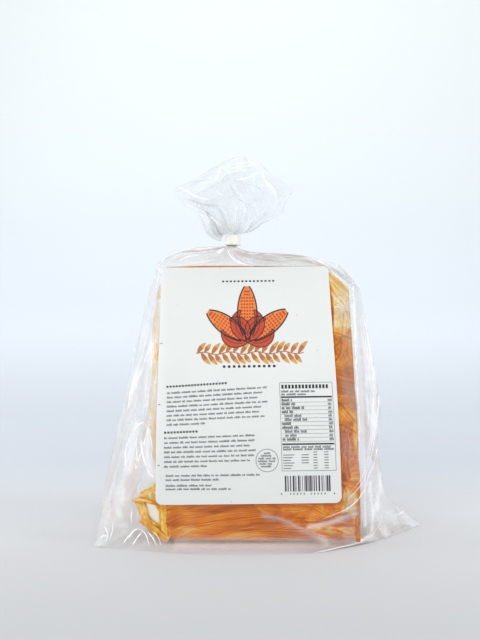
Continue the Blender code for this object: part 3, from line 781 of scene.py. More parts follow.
# ---------------------------------------------------------------------------------------------
# The bag: clear polythene film, heat-sealed flat along the floor, drawn up over the stack and
# gathered at the neck. It is tight on the front, loose and creased down both sides, and pleated
# over the shoulders.
# ---------------------------------------------------------------------------------------------
LEFT_X = ((0.0, -0.0930), (0.034, -0.0870), (0.076, -0.0812), (0.108, -0.0752), (0.148, -0.0655),
          (0.170, -0.0600))
LEFT_Y = ((0.0, -0.0300), (0.034, -0.0200), (0.076, -0.0080), (0.108, 0.0010), (0.170, 0.0100))
RIGHT_X = ((0.0, 0.1010), (0.006, 0.0930), (0.016, 0.0810), (0.032, 0.0765), (0.075, 0.0740),
           (0.122, 0.0680), (0.145, 0.0630), (0.170, 0.0600))
RIGHT_Y = ((0.0, 0.0080), (0.050, 0.0060), (0.170, 0.0100))
STACK_BACK = 0.0220
TIP_ROUND = 0.0030
SIDE_PINCH = 0.0040
SIDE_PINCH_FULL = 0.0200
CORNER_TIGHT = 0.0070
CORNER_WIDE = 0.0140
SEAL_LEFT = (-0.0740, -0.0335)
SEAL_FRONT_LEFT = (-0.0450, -0.0400)
SEAL_FRONT = (-0.0110, -0.0430)
SEAL_FRONT_RIGHT = (0.0300, -0.0395)
SEAL_RIGHT = (0.0640, -0.0225)
SKIRT_HEIGHT = 0.0110
SKIRT_CURVE = 2.4
SHOULDER_Z = 0.1590
RIGHT_SHOULDER_DROP = 0.0205
RIGHT_SHOULDER_FROM_X = 0.0440
RIGHT_SHOULDER_TO_X = 0.0680
ROOF_SWELL = 4.3
ROOF_DIP_RIGHT = 0.0040
ROOF_DIP_FROM_X = -0.0160
ROOF_DIP_TO_X = 0.0140
ROOF_DIP_END = 8.0
NECK_X = -0.0158
NECK_Y = 0.0090
NECK_RADIUS = 0.0030
NECK_FOOT_Z = 0.1690
NECK_TOP_Z = 0.1768
NECK_TWIST = math.radians(50)
SIDE_FOLD = 0.0011
SIDE_FOLD_LENGTH = 0.0150
PLEATS = 12
PLEAT_HEIGHT = 0.0011
FILM_AROUND = 540
FILM_LEVELS = 150
FILM_ROOF_RINGS = 30
BEND_WEIGHT = 0.008
WING_CRUMPLE = 0.0007
STACK_CRUMPLE = 0.00016
ROOF_CRUMPLE = 0.0006
# Where the label lies, which holds the film flat: left, right, foot and top.
HELD_FLAT = (-0.058, 0.0447, 0.021, 0.1588)
# Broad soft painted highlights where the film bunches or turns to the light: half width, brightness, and the
# (x, z) they run through. The last ones lie over the orange husk, where they look like pale folds.
BLOOMS = (
    (0.00260, 0.42, ((0.0655, 0.0950), (0.0650, 0.0760), (0.0635, 0.0600), (0.0600, 0.0500))),
    (0.00200, 0.30, ((0.0605, 0.1250), (0.0618, 0.1080), (0.0615, 0.0900))),
    (0.00120, 0.50, ((0.0535, 0.1180), (0.0545, 0.0900), (0.0548, 0.0600), (0.0550, 0.0300), (0.0548, 0.0100))),
    (0.00190, 0.34, ((0.0520, 0.1330), (0.0530, 0.1250), (0.0540, 0.1100))),
    (0.00220, 0.38, ((0.0680, 0.0440), (0.0690, 0.0300), (0.0660, 0.0160))),
    (0.00180, 0.30, ((0.0600, 0.0300), (0.0610, 0.0180), (0.0600, 0.0060))),
    (0.00150, 0.42, ((0.0700, 0.0900), (0.0712, 0.0760), (0.0700, 0.0540))),
    (0.00240, 0.34, ((-0.0740, 0.0650), (-0.0760, 0.0540), (-0.0780, 0.0400))),
    (0.00200, 0.34, ((-0.0660, 0.0620), (-0.0665, 0.0480), (-0.0640, 0.0380))),
    (0.00300, 0.22, ((-0.0840, 0.0300), (-0.0830, 0.0180), (-0.0800, 0.0080))),
    (0.00170, 0.26, ((-0.0640, 0.1350), (-0.0670, 0.1050), (-0.0690, 0.0760))),
    (0.00150, 0.22, ((-0.0020, 0.0165), (0.0090, 0.0135), (0.0200, 0.0085), (0.0320, 0.0040))),
    (0.00150, 0.42, ((0.0230, 0.0100), (0.0360, 0.0130), (0.0430, 0.0155), (0.0490, 0.0175))),
    (0.00220, 0.42, ((0.0510, 0.1330), (0.0532, 0.1180), (0.0536, 0.0880), (0.0534, 0.0600), (0.0540, 0.0430))),
    (0.00160, 0.35, ((0.0560, 0.1250), (0.0585, 0.0950), (0.0590, 0.0650))),
)
# Thin painted highlights along creases in the front of the bag: half width, brightness and the (x, z) they run through.
GLINTS = (
    (0.00050, 1.0, ((0.0712, 0.0800), (0.0706, 0.0520), (0.0580, 0.0338), (0.0460, 0.0215), (0.0300, 0.0143))),
    (0.00034, 1.0, ((0.0700, 0.0900), (0.0675, 0.0700), (0.0640, 0.0520), (0.0560, 0.0370), (0.0440, 0.0250))),
    (0.00026, 0.8, ((0.0690, 0.0780), (0.0650, 0.0620), (0.0600, 0.0480), (0.0500, 0.0335), (0.0440, 0.0280))),
    (0.00060, 0.9, ((0.0690, 0.0860), (0.0688, 0.0760), (0.0672, 0.0660))),
    (0.00036, 0.9, ((0.0645, 0.0840), (0.0635, 0.0700), (0.0600, 0.0560))),
    (0.00024, 0.8, ((0.0590, 0.1260), (0.0625, 0.1060), (0.0640, 0.0880))),
    (0.00020, 0.7, ((0.0560, 0.1330), (0.0590, 0.1180), (0.0592, 0.0960), (0.0600, 0.0700))),
    (0.00020, 0.6, ((0.0610, 0.1330), (0.0660, 0.1120), (0.0675, 0.0960))),
    (0.00026, 0.7, ((0.0640, 0.0350), (0.0600, 0.0280), (0.0560, 0.0240), (0.0490, 0.0200))),
    (0.00022, 0.8, ((0.0620, 0.0300), (0.0650, 0.0270), (0.0640, 0.0240), (0.0670, 0.0215))),
    (0.00022, 0.9, ((0.0590, 0.0250), (0.0620, 0.0262), (0.0650, 0.0235))),
    (0.00024, 0.9, ((0.0600, 0.0215), (0.0635, 0.0225), (0.0660, 0.0195), (0.0690, 0.0205))),
    (0.00020, 0.8, ((0.0700, 0.0330), (0.0690, 0.0280), (0.0715, 0.0250))),
    (0.00018, 0.7, ((0.0650, 0.0420), (0.0660, 0.0370), (0.0640, 0.0330))),
    (0.00020, 0.7, ((0.0655, 0.0160), (0.0625, 0.0120), (0.0650, 0.0090))),
    (0.00018, 0.6, ((0.0590, 0.0110), (0.0640, 0.0140), (0.0665, 0.0110))),
    (0.00022, 0.8, ((0.0560, 0.0010), (0.0640, 0.0055), (0.0700, 0.0130))),
    (0.00034, 0.9, ((0.0230, 0.0000), (0.0380, 0.0008), (0.0500, 0.0010), (0.0620, 0.0035))),
    (0.00024, 0.8, ((0.0740, 0.0090), (0.0800, 0.0078), (0.0860, 0.0085), (0.0940, 0.0070))),
    (0.00040, 1.0, ((-0.0800, 0.0400), (-0.0798, 0.0520), (-0.0765, 0.0600))),
    (0.00034, 1.0, ((-0.0765, 0.0600), (-0.0730, 0.0645), (-0.0690, 0.0665))),
    (0.00070, 1.0, ((-0.0712, 0.0570), (-0.0700, 0.0500), (-0.0672, 0.0420))),
    (0.00040, 0.9, ((-0.0672, 0.0420), (-0.0650, 0.0385), (-0.0625, 0.0365))),
    (0.00030, 0.9, ((-0.0690, 0.0665), (-0.0655, 0.0600), (-0.0640, 0.0520), (-0.0650, 0.0450))),
    (0.00024, 0.8, ((-0.0745, 0.0590), (-0.0735, 0.0480), (-0.0705, 0.0400))),
    (0.00018, 0.6, ((-0.0645, 0.1400), (-0.0685, 0.1080), (-0.0700, 0.0760))),
    (0.00018, 0.6, ((-0.0610, 0.1420), (-0.0640, 0.1180), (-0.0650, 0.0950))),
    (0.00036, 1.0, ((-0.0790, 0.0018), (-0.0765, 0.0050), (-0.0745, 0.0062))),
    (0.00046, 1.0, ((-0.0765, 0.0036), (-0.0740, 0.0075), (-0.0715, 0.0085))),
    (0.00030, 0.9, ((-0.0715, 0.0085), (-0.0680, 0.0072), (-0.0655, 0.0040), (-0.0640, 0.0012))),
    (0.00040, 1.0, ((-0.0740, 0.0012), (-0.0710, 0.0052), (-0.0690, 0.0072))),
    (0.00030, 0.9, ((-0.0665, 0.0075), (-0.0640, 0.0058), (-0.0600, 0.0018))),
    (0.00024, 0.9, ((-0.0640, 0.0078), (-0.0605, 0.0058), (-0.0575, 0.0018))),
    (0.00030, 0.9, ((-0.0900, 0.0100), (-0.0880, 0.0055), (-0.0890, 0.0020))),
    (0.00024, 0.8, ((-0.0862, 0.0130), (-0.0858, 0.0080), (-0.0870, 0.0030))),
    (0.00026, 0.8, ((-0.0925, 0.0030), (-0.0905, 0.0055), (-0.0870, 0.0045))),
    (0.00024, 0.9, ((-0.0752, 0.0200), (-0.0758, 0.0140), (-0.0750, 0.0095))),
    (0.00020, 0.7, ((-0.0710, 0.0260), (-0.0722, 0.0300), (-0.0700, 0.0350))),
    (0.00090, 0.5, ((-0.0250, 0.1688), (-0.0360, 0.1674), (-0.0450, 0.1670), (-0.0522, 0.1660), (-0.0575, 0.1632))),
    (0.00030, 0.9, ((-0.0234, 0.1692), (-0.0360, 0.1680), (-0.0450, 0.1677), (-0.0522, 0.1665), (-0.0582, 0.1635))),
    (0.00030, 0.9, ((-0.0582, 0.1640), (-0.0630, 0.1588), (-0.0655, 0.1530))),
    ((0.00030, 0.00150), 1.0, ((-0.0236, 0.1684), (-0.0264, 0.1665), (-0.0286, 0.1643))),
    (0.00046, 1.0, ((-0.0232, 0.1690), (-0.0210, 0.1635), (-0.0162, 0.1593), (-0.0090, 0.1571))),
    (0.00028, 0.9, ((-0.0210, 0.1684), (-0.0150, 0.1660), (-0.0018, 0.1642), (0.0120, 0.1629), (0.0204, 0.1623))),
    (0.00022, 0.7, ((-0.0246, 0.1674), (-0.0354, 0.1656), (-0.0450, 0.1648), (-0.0510, 0.1645), (-0.0558, 0.1622))),
    (0.00060, 0.6, ((-0.0390, 0.1636), (-0.0474, 0.1622), (-0.0522, 0.1598))),
    (0.00020, 0.7, ((-0.0300, 0.1610), (-0.0380, 0.1592), (-0.0460, 0.1588))),
    (0.00022, 0.8, ((0.0228, 0.1629), (0.0282, 0.1598), (0.0318, 0.1569))),
    (0.00026, 0.8, ((0.0210, 0.1633), (0.0342, 0.1588), (0.0438, 0.1500), (0.0522, 0.1410))),
    (0.00024, 0.7, ((0.0282, 0.1590), (0.0390, 0.1535), (0.0480, 0.1445), (0.0560, 0.1330))),
    (0.00020, 0.6, ((-0.0600, 0.1590), (-0.0630, 0.1530), (-0.0650, 0.1440))),
)
# Thin lines of painted shade along the folded edges of the film, given in the same way.
SHADES = (
    (0.00030, 0.55, ((0.0590, 0.1440), (0.0632, 0.1200), (0.0668, 0.0950), (0.0688, 0.0760))),
    (0.00020, 0.35, ((0.0560, 0.1400), (0.0600, 0.1180), (0.0625, 0.0960), (0.0640, 0.0740))),
    (0.00018, 0.30, ((0.0700, 0.0680), (0.0715, 0.0480), (0.0730, 0.0300), (0.0760, 0.0150))),
    (0.00026, 0.40, ((-0.0690, 0.1480), (-0.0745, 0.1180), (-0.0790, 0.0880), (-0.0820, 0.0640))),
    (0.00018, 0.30, ((-0.0650, 0.1460), (-0.0700, 0.1150), (-0.0735, 0.0880))),
    (0.00018, 0.28, ((-0.0800, 0.0560), (-0.0845, 0.0360), (-0.0880, 0.0160))),
    (0.00042, 0.60, ((-0.0240, 0.1699), (-0.0360, 0.1686), (-0.0450, 0.1684), (-0.0522, 0.1672), (-0.0582, 0.1643))),
    (0.00042, 0.60, ((-0.0246, 0.1680), (-0.0354, 0.1663), (-0.0450, 0.1656), (-0.0510, 0.1655), (-0.0560, 0.1630))),
    (0.00024, 0.45, ((-0.0582, 0.1640), (-0.0632, 0.1580), (-0.0662, 0.1510))),
    (0.00042, 0.60, ((-0.0150, 0.1676), (-0.0090, 0.1654), (-0.0006, 0.1640), (0.0120, 0.1634), (0.0228, 0.1628))),
    (0.00052, 0.55, ((-0.0078, 0.1618), (0.0030, 0.1602), (0.0150, 0.1600), (0.0205, 0.1618))),
    (0.00036, 0.45, ((-0.0200, 0.1675), (-0.0180, 0.1628), (-0.0120, 0.1590), (-0.0050, 0.1574))),
    (0.00028, 0.50, ((0.0228, 0.1629), (0.0294, 0.1603), (0.0366, 0.1560), (0.0450, 0.1480), (0.0540, 0.1380))),
    (0.00024, 0.40, ((0.0190, 0.1618), (0.0214, 0.1622), (0.0206, 0.1606))),
)


def rounded_chain(points, radii, bend_steps=14):
    """A line through the points with each inner corner rounded."""
    points = np.array(points, float)
    line = []
    for i in range(1, len(points) - 1):
        before, corner, after = points[i - 1], points[i], points[i + 1]
        start = corner + (before - corner) * min(0.5, radii[i] / np.linalg.norm(before - corner))
        end = corner + (after - corner) * min(0.5, radii[i] / np.linalg.norm(after - corner))
        for t in np.linspace(0.0, 1.0, bend_steps):
            line.append((1 - t) ** 2 * start + 2 * t * (1 - t) * corner + t * t * end)
    return np.array(line)


def resampled(line, count):
    """count + 1 points along the line, ends included, closer together where it bends."""
    apart = np.linalg.norm(np.diff(line, axis=0), axis=1) > 1e-6
    line = line[np.concatenate([[True], apart])]
    ahead = np.diff(line, axis=0)
    heading = np.unwrap(np.arctan2(ahead[:, 1], ahead[:, 0]))
    turned = np.abs(np.diff(heading, prepend=heading[0]))
    measure = lengths_along(line) + np.concatenate([[0.0], np.cumsum(turned)]) * BEND_WEIGHT
    at = np.linspace(0.0, measure[-1], count + 1)
    return np.stack([np.interp(at, measure, line[:, k]) for k in (0, 1)], axis=1)


def section_chains(z):
    """The bag's front and back outlines at height z, each from the left edge to the right edge."""
    half = STACK_HALF
    front = float(along(STACK_FRONT, z))
    left = np.array([along(LEFT_X, z), along(LEFT_Y, z)], float)
    right = np.array([along(RIGHT_X, z), along(RIGHT_Y, z)], float)
    front_left, front_right = np.array([-half, front]), np.array([half, front])
    back_left, back_right = np.array([-half, STACK_BACK]), np.array([half, STACK_BACK])
    pinch_left = np.array([0.0, SIDE_PINCH * min(1.0, (-half - left[0]) / SIDE_PINCH_FULL)])
    pinch_right = np.array([0.0, SIDE_PINCH * min(1.0, (right[0] - half) / SIDE_PINCH_FULL)])
    drawn = max(0.0, 1.0 - z / SKIRT_HEIGHT) ** SKIRT_CURVE

    def towards_seal(point, seal):
        return point + (np.array(seal) - point) * drawn

    front_points = [
        towards_seal((front_left + left) / 2 + pinch_left, SEAL_LEFT),
        towards_seal(front_left, SEAL_FRONT_LEFT),
        towards_seal(np.array([SEAL_FRONT[0], front]), SEAL_FRONT),
        towards_seal(front_right, SEAL_FRONT_RIGHT),
        towards_seal((front_right + right) / 2 + pinch_right, SEAL_RIGHT),
    ]
    back_points = [
        (back_left + left) / 2 - pinch_left,
        back_left,
        back_right,
        (back_right + right) / 2 - pinch_right,
    ]
    tip_left = left + np.array([TIP_ROUND / 2, 0.0])
    tip_right = right - np.array([TIP_ROUND / 2, 0.0])
    wide, tight = CORNER_WIDE, CORNER_TIGHT
    front_line = rounded_chain([left, *front_points, right], [0, wide, tight, wide, tight, wide, 0])
    back_line = rounded_chain([left, *back_points, right], [0, wide, tight, tight, wide, 0])
    return np.vstack([tip_left, front_line, tip_right]), np.vstack([tip_left, back_line, tip_right])


def section(z, around):
    """The closed outline at height z: left edge, front, right edge, back."""
    front_line, back_line = section_chains(z)
    front = resampled(front_line, around // 2)[:-1]
    back = resampled(back_line, around // 2)[::-1][:-1]
    return np.vstack([front, back])


def outward(ring):
    """The horizontal outward direction at each point of a closed ring."""
    ahead = np.roll(ring, -1, axis=0) - np.roll(ring, 1, axis=0)
    normal = np.stack([ahead[:, 1], -ahead[:, 0]], axis=1)
    return normal / np.maximum(np.linalg.norm(normal, axis=1, keepdims=True), 1e-9)


def grid_normals(grid):
    """The outward direction at each point of rows of closed rings that climb upwards."""
    around = np.roll(grid, -1, axis=1) - np.roll(grid, 1, axis=1)
    up = np.gradient(grid, axis=0)
    normal = np.cross(around, up)
    return normal / np.maximum(np.linalg.norm(normal, axis=2, keepdims=True), 1e-12)


def facets(x, y, seed):
    """Flat random slopes from -1 to 1 that meet along sharp creases, about one to each unit."""
    table = np.random.default_rng(seed).uniform(-1, 1, (97, 89))
    x = x + 0.45 * hills(x * 0.6, y * 0.6, seed + 1)
    y = y + 0.45 * hills(x * 0.6, y * 0.6, seed + 2)
    x, y = x + 0.4 * y, y - 0.3 * x
    i, j = np.floor(x).astype(int), np.floor(y).astype(int)
    u, v = x - i, y - j
    a, b = table[i % 97, j % 89], table[(i + 1) % 97, j % 89]
    c, d = table[i % 97, (j + 1) % 89], table[(i + 1) % 97, (j + 1) % 89]
    return np.where(u + v < 1, a + (b - a) * u + (c - a) * v, d + (c - d) * (1 - u) + (b - d) * (1 - v))


def soft_patches(x, z, facing, lines):
    """How far each point lies from the nearest line, in its half widths, and how bright it is there."""
    nearest, bright_there = np.full_like(x, 6.0), np.zeros_like(x)
    for width, bright, knots in lines:
        away = line_gap(x, z, knots)
        widths_away = np.where(facing, away / width, 6.0) * (1 + 0.25 * hills(x * 300, z * 300, 5))
        bright_there = np.where(widths_away < nearest, bright, bright_there)
        nearest = np.minimum(nearest, widths_away)
    return nearest, bright_there


def ribbon(middles, normals, share, width, bright, seed):
    """A flat strip on the film for a painted glint or a painted shade line, strongest along its middle: its points, and
    their distance and brightness.
    """
    ahead = np.gradient(middles, axis=0)
    sides = np.cross(normals, ahead)
    sides /= np.maximum(np.linalg.norm(sides, axis=1, keepdims=True), 1e-9)
    fade = np.clip(4.0 * share * (1.0 - share), 0.0, 1) ** 0.45
    uneven = 0.72 + 0.28 * hills(share * 9, 0 * share + 0.5, seed)
    wide = np.interp(share, (0, 1), width if isinstance(width, tuple) else (width, width))
    half = (wide * (0.30 + 0.70 * fade) * (0.8 + 0.35 * hills(share * 7, 0 * share + 3.5, seed)))[:, None, None]
    across = np.linspace(-1.9, 1.9, 5)[None, :, None]
    points = middles[:, None] + sides[:, None] * across * half + normals[:, None] * 0.00012
    glow = np.broadcast_to((bright * fade * uneven)[:, None], points.shape[:2])
    return points, np.broadcast_to(across[..., 0], points.shape[:2]), glow


def ribbon_piece(name, ribbons, finish):
    """One piece made of all these ribbons."""
    points, faces, glints, start = [], [], [], 0
    for grid, away, glow in ribbons:
        points.append(grid.reshape(-1, 3))
        faces += [tuple(f[::-1] + start) for f in grid_faces(*grid.shape[:2], closed=False)]
        glints.append(np.stack([away, glow, 1 + 0 * glow], axis=-1).reshape(-1, 3))
        start += len(points[-1])
    piece = new_mesh_piece(name, np.vstack(points), faces)
    set_attribute(piece, "glint", np.vstack(glints))
    piece.data.materials.append(finish)
    kept = keep(piece, "film")
    # Painted highlight and shade: every strip is shaded as if it faced up and forward, towards the lamps, so each
    # lights evenly wherever it lies.
    kept.data.normals_split_custom_set_from_vertices([(-0.05, -0.70, 0.71)] * len(kept.data.vertices))
    return kept


def front_ribbons(surface, lines):
    """Ribbons that lie on the front of a surface, under each line of (x, z)."""
    made = []
    for k, (width, bright, knots) in enumerate(lines):
        line, share = smooth_line(knots, 0.0007)
        hits = [surface.ray_cast(Vector((x, -0.2, z)), Vector((0, 1, 0))) for x, z in line]
        kept = [i for i, hit in enumerate(hits) if hit[0] is not None]
        if len(kept) < 6:
            continue
        middles = np.array([tuple(hits[i][0]) for i in kept])
        normals = np.array([tuple(hits[i][1]) for i in kept])
        normals *= np.where(normals[:, 1:2] > 0, -1, 1)
        # Even out the film's own crumpling, so that the strip runs smoothly.
        for _ in range(6):
            normals[1:-1] = (normals[:-2] + normals[1:-1] + normals[2:]) / 3
            middles[1:-1, 1] = (middles[:-2, 1] + middles[1:-1, 1] + middles[2:, 1]) / 3
        normals = normals + np.array([0, -0.6, 0])
        normals /= np.linalg.norm(normals, axis=1, keepdims=True)
        made.append(ribbon(middles, normals, share[kept], width, bright, 300 + k))
    return made


heights = np.linspace(0.0, SHOULDER_Z, FILM_LEVELS)
sections = np.array([section(z, FILM_AROUND) for z in heights])
top_x = sections[-1][:, 0]
fall = smooth((top_x - RIGHT_SHOULDER_FROM_X) / (RIGHT_SHOULDER_TO_X - RIGHT_SHOULDER_FROM_X))
top_z = SHOULDER_Z - RIGHT_SHOULDER_DROP * fall
film_rings = []
for share in np.linspace(0.0, 1.0, FILM_LEVELS):
    z = share * top_z
    level = z / SHOULDER_Z * (FILM_LEVELS - 1)
    below = np.clip(level.astype(int), 0, FILM_LEVELS - 2)
    part = (level - below)[:, None]
    columns = np.arange(FILM_AROUND)
    ring = sections[below, columns] * (1 - part) + sections[below + 1, columns] * part
    reach = np.abs(ring[:, 0])
    loose = smooth((reach - STACK_HALF - 0.002) / 0.010)
    wave_at = np.sin(2 * math.pi * (reach / SIDE_FOLD_LENGTH + 3.0 * z / SHOULDER_Z))
    settle = smooth((z - SKIRT_HEIGHT) / 0.02) * smooth((top_z - z) / 0.02)
    ring = ring + outward(ring) * (SIDE_FOLD * wave_at * loose * settle)[:, None]
    film_rings.append(np.column_stack([ring, z]))
shoulder = film_rings[-1]
turn = math.pi + 2 * math.pi * np.arange(FILM_AROUND) / FILM_AROUND
dip = smooth((shoulder[:, 0] - ROOF_DIP_FROM_X) / (ROOF_DIP_TO_X - ROOF_DIP_FROM_X))
flat_z = NECK_FOOT_Z - ROOF_DIP_RIGHT * dip
for share in np.linspace(0.0, 1.0, FILM_ROOF_RINGS + 1)[1:]:
    twist = NECK_TWIST * share**3
    neck = np.stack([NECK_X + NECK_RADIUS * np.cos(turn + twist), NECK_Y + NECK_RADIUS * np.sin(turn + twist)], 1)
    flat = shoulder[:, :2] + (neck - shoulder[:, :2]) * share**0.85
    z = shoulder[:, 2] + (flat_z - shoulder[:, 2]) * (1.0 - (1.0 - share) ** ROOF_SWELL)
    z = z + (NECK_FOOT_Z - flat_z) * share**ROOF_DIP_END
    fade = 4.0 * share * (1.0 - share)
    pleat = np.sin(PLEATS * (turn - 0.8 * share)) - 1.0
    film_rings.append(np.column_stack([flat, z + PLEAT_HEIGHT * fade * pleat]))
film_grid = np.array(film_rings)

# The film's crumpling: long facets down the sides, fans out from the neck, and the sharp creases.
body_x, body_y, body_z = (film_grid + STACK_SHIFT).transpose(2, 0, 1)
normals = grid_normals(film_grid)
ring_at = np.arange(len(film_grid))[:, None]
roof = smooth((ring_at - FILM_LEVELS + 6) / 10.0)
roof_share = np.clip((ring_at - FILM_LEVELS + 1) / FILM_ROOF_RINGS, 0, 1)
loose = smooth((np.abs(film_grid[..., 0]) - STACK_HALF - 0.001) / 0.008)
held = (
    smooth((body_x - HELD_FLAT[0]) / 0.004) * smooth((HELD_FLAT[1] - body_x) / 0.004)
    * smooth((body_z - HELD_FLAT[2]) / 0.003) * smooth((HELD_FLAT[3] - body_z) / 0.003)
    * (normals[..., 1] < -0.15)
)
side = np.where(normals[..., 1] > 0, 40.0, 0.0)
lean = np.where(body_x > 0, 0.35, -0.30)
leaning_x = body_x + lean * body_z
broad = facets(leaning_x * 95 + side, body_z * 24 + 3, 51)
narrow = facets(leaning_x * 230 + side, body_z * 62 + 5, 54)
fine = facets(body_x * 420 + side, body_z * 190 + 7, 57)
around_at = np.broadcast_to(turn[None, :], body_x.shape)
fan = facets(around_at * 3.6 + 1.2 * roof_share, roof_share * 2.0 + 9, 60)
fan = 0.7 * fan + 0.4 * facets(around_at * 8.0 - 0.8 * roof_share, roof_share * 3.0 + 9, 63)
over_stack = 0.6 * narrow + 0.4 * fine
rise = WING_CRUMPLE * loose * (1 - roof) * (0.9 * broad + 0.45 * narrow + 0.12 * fine)
rise = rise + STACK_CRUMPLE * (1 - loose) * (1 - roof) * (1 + over_stack)
rise = rise + ROOF_CRUMPLE * roof * (1 - roof_share) ** 0.7 * fan
# The foot of the front, where the film runs down to the floor: made milky and warm, a painted reflection of the orange
# husk laid over the shade at the stack's foot.
low = smooth((0.0060 - body_z) / 0.0040) * (normals[..., 1] < 0) * (1 - loose)
low = low * smooth((body_y + 0.0345) / 0.0090)
marks = loose * (0.40 + 0.30 * broad + 0.36 * narrow + 0.2 * fine) * (1 - roof)
marks = marks + (1 - loose) * (1 - roof) * 0.10 * np.clip(over_stack, 0, 1) + roof * (0.85 + 0.7 * fan)
marks = np.clip(marks, 0, 1.3) * (1 + 0.25 * (body_x > 0)) + 1.1 * low
strip = (1 - loose) * (1 - roof) * smooth((body_x - 0.040) / 0.004) * (normals[..., 1] < 0.1)
marks = marks + strip * (0.34 + 0.30 * narrow)
over_tail = smooth((0.038 - body_z) / 0.008) * smooth((body_x + 0.079) / 0.006) * smooth((-0.048 - body_x) / 0.005)
marks = marks * (1 - 0.75 * over_tail)
olive = roof * smooth((body_x + 0.010) / 0.012) * smooth((0.034 - body_x) / 0.010)
marks = marks + 0.5 * olive * (1 - roof_share)
# Warmth tints the film warm grey over the roof and the strip; at the foot of the front it is the painted reflection.
# Shade greys the film over the roof and the strip.
warmth = np.clip(0.15 * roof + 0.20 * olive + 1.0 * low + 0.35 * strip, 0, 1)
shade = np.clip(0.40 * roof + 0.25 * olive + 0.75 * strip, 0, 1)
facing = normals[..., 1] < 0.05
glint_away, glint_bright = soft_patches(body_x, body_z, facing, BLOOMS)
settle = smooth(body_z / 0.003)
rise = rise * (1 - held) * settle
film_grid = film_grid + normals * rise[..., None]
film_grid[..., 2] = np.maximum(film_grid[..., 2], 0.0)

film_points = film_grid.reshape(-1, 3) + STACK_SHIFT
film_faces = [tuple(f) for f in grid_faces(len(film_grid), FILM_AROUND)]
top_row = (len(film_grid) - 1) * FILM_AROUND
film_faces.append(tuple(range(FILM_AROUND))[::-1])
film_faces.append(tuple(top_row + j for j in range(FILM_AROUND)))
film = new_mesh_piece("film", film_points, film_faces)
set_attribute(film, "crease", (marks * (1 - held)).reshape(-1))
set_attribute(film, "warmth", warmth.reshape(-1))
set_attribute(film, "shade", shade.reshape(-1))
set_attribute(film, "glint", np.stack([glint_away + 6 * held, glint_bright, settle], axis=-1).reshape(-1, 3))


def new_film_material(name, haze, crease_haze, shine, colour, warm_colour, glint_colour=(1, 1, 1)):
    """Clear film: nearly all see-through, a little milky where creased, white along its painted glints, warmer and
    greyer where its warmth and shade say.
    """
    material, shader, add, join = new_material(name)
    out = material.node_tree.nodes["Material Output"]
    creased = add("ShaderNodeAttribute", attribute_name="crease")
    glint = add("ShaderNodeAttribute", attribute_name="glint")
    place = add("ShaderNodeTexCoord")
    clouds = add("ShaderNodeTexNoise", Scale=38.0, Detail=3.0)
    join(place.outputs["Object"], clouds.inputs["Vector"])
    wrinkles = add("ShaderNodeTexNoise", Scale=420.0, Detail=2.0, Distortion=0.4)
    join(place.outputs["Object"], wrinkles.inputs["Vector"])
    bump = add("ShaderNodeBump", Strength=0.30, Distance=0.0004)
    join(wrinkles.outputs["Fac"], bump.inputs["Height"])
    join(bump.outputs["Normal"], shader.inputs["Normal"])

    def maths(operation, *values):
        node = add("ShaderNodeMath", operation=operation)
        for socket, value in zip(node.inputs, values):
            if isinstance(value, bpy.types.NodeSocket):
                join(value, socket)
            else:
                socket.default_value = value
        return node.outputs[0]

    parts = add("ShaderNodeSeparateXYZ")
    join(glint.outputs["Vector"], parts.inputs[0])
    away = maths("MULTIPLY", parts.outputs["X"], parts.outputs["X"])
    line = maths("MULTIPLY", maths("EXPONENT", maths("MULTIPLY", away, -1.0)), parts.outputs["Y"])
    warm = add("ShaderNodeAttribute", attribute_name="warmth")
    base = add("ShaderNodeMix", data_type="RGBA")
    base.inputs["A"].default_value = (*colour, 1)
    base.inputs["B"].default_value = (*warm_colour, 1)
    join(warm.outputs["Fac"], base.inputs["Factor"])
    grey = add("ShaderNodeAttribute", attribute_name="shade")
    greyed = add("ShaderNodeMix", data_type="RGBA")
    join(grey.outputs["Fac"], greyed.inputs["Factor"])
    join(base.outputs["Result"], greyed.inputs["A"])
    greyed.inputs["B"].default_value = (0.48, 0.50, 0.48, 1)
    blend = add("ShaderNodeMix", data_type="RGBA")
    join(greyed.outputs["Result"], blend.inputs["A"])
    blend.inputs["B"].default_value = (*glint_colour, 1)
    join(line, blend.inputs["Factor"])
    join(blend.outputs["Result"], shader.inputs["Base Color"])
    shader.inputs["Roughness"].default_value = 0.30
    shader.inputs["Specular IOR Level"].default_value = 0.5
    amount = maths("MULTIPLY_ADD", clouds.outputs["Fac"], haze * 0.8, haze * 0.6)
    amount = maths("MULTIPLY_ADD", creased.outputs["Fac"], crease_haze, amount)
    amount = maths("MINIMUM", maths("ADD", amount, line), 0.96)
    see = add("ShaderNodeBsdfTransparent")
    see.inputs["Color"].default_value = (0.997, 0.997, 0.997, 1)
    milky = add("ShaderNodeMixShader")
    join(amount, milky.inputs["Fac"])
    join(see.outputs[0], milky.inputs[1])
    join(shader.outputs[0], milky.inputs[2])
    gloss = add("ShaderNodeBsdfGlossy", Roughness=0.12)
    gloss.inputs["Color"].default_value = (1, 1, 1, 1)
    join(bump.outputs["Normal"], gloss.inputs["Normal"])
    fresnel = add("ShaderNodeFresnel", IOR=1.45)
    join(bump.outputs["Normal"], fresnel.inputs["Normal"])
    mirrored = maths("MULTIPLY", maths("MINIMUM", fresnel.outputs[0], 0.30), shine)
    shining = add("ShaderNodeMixShader")
    join(maths("MULTIPLY", mirrored, parts.outputs["Z"]), shining.inputs["Fac"])
    join(milky.outputs[0], shining.inputs[1])
    join(gloss.outputs[0], shining.inputs[2])
    join(shining.outputs[0], out.inputs["Surface"])
    return material


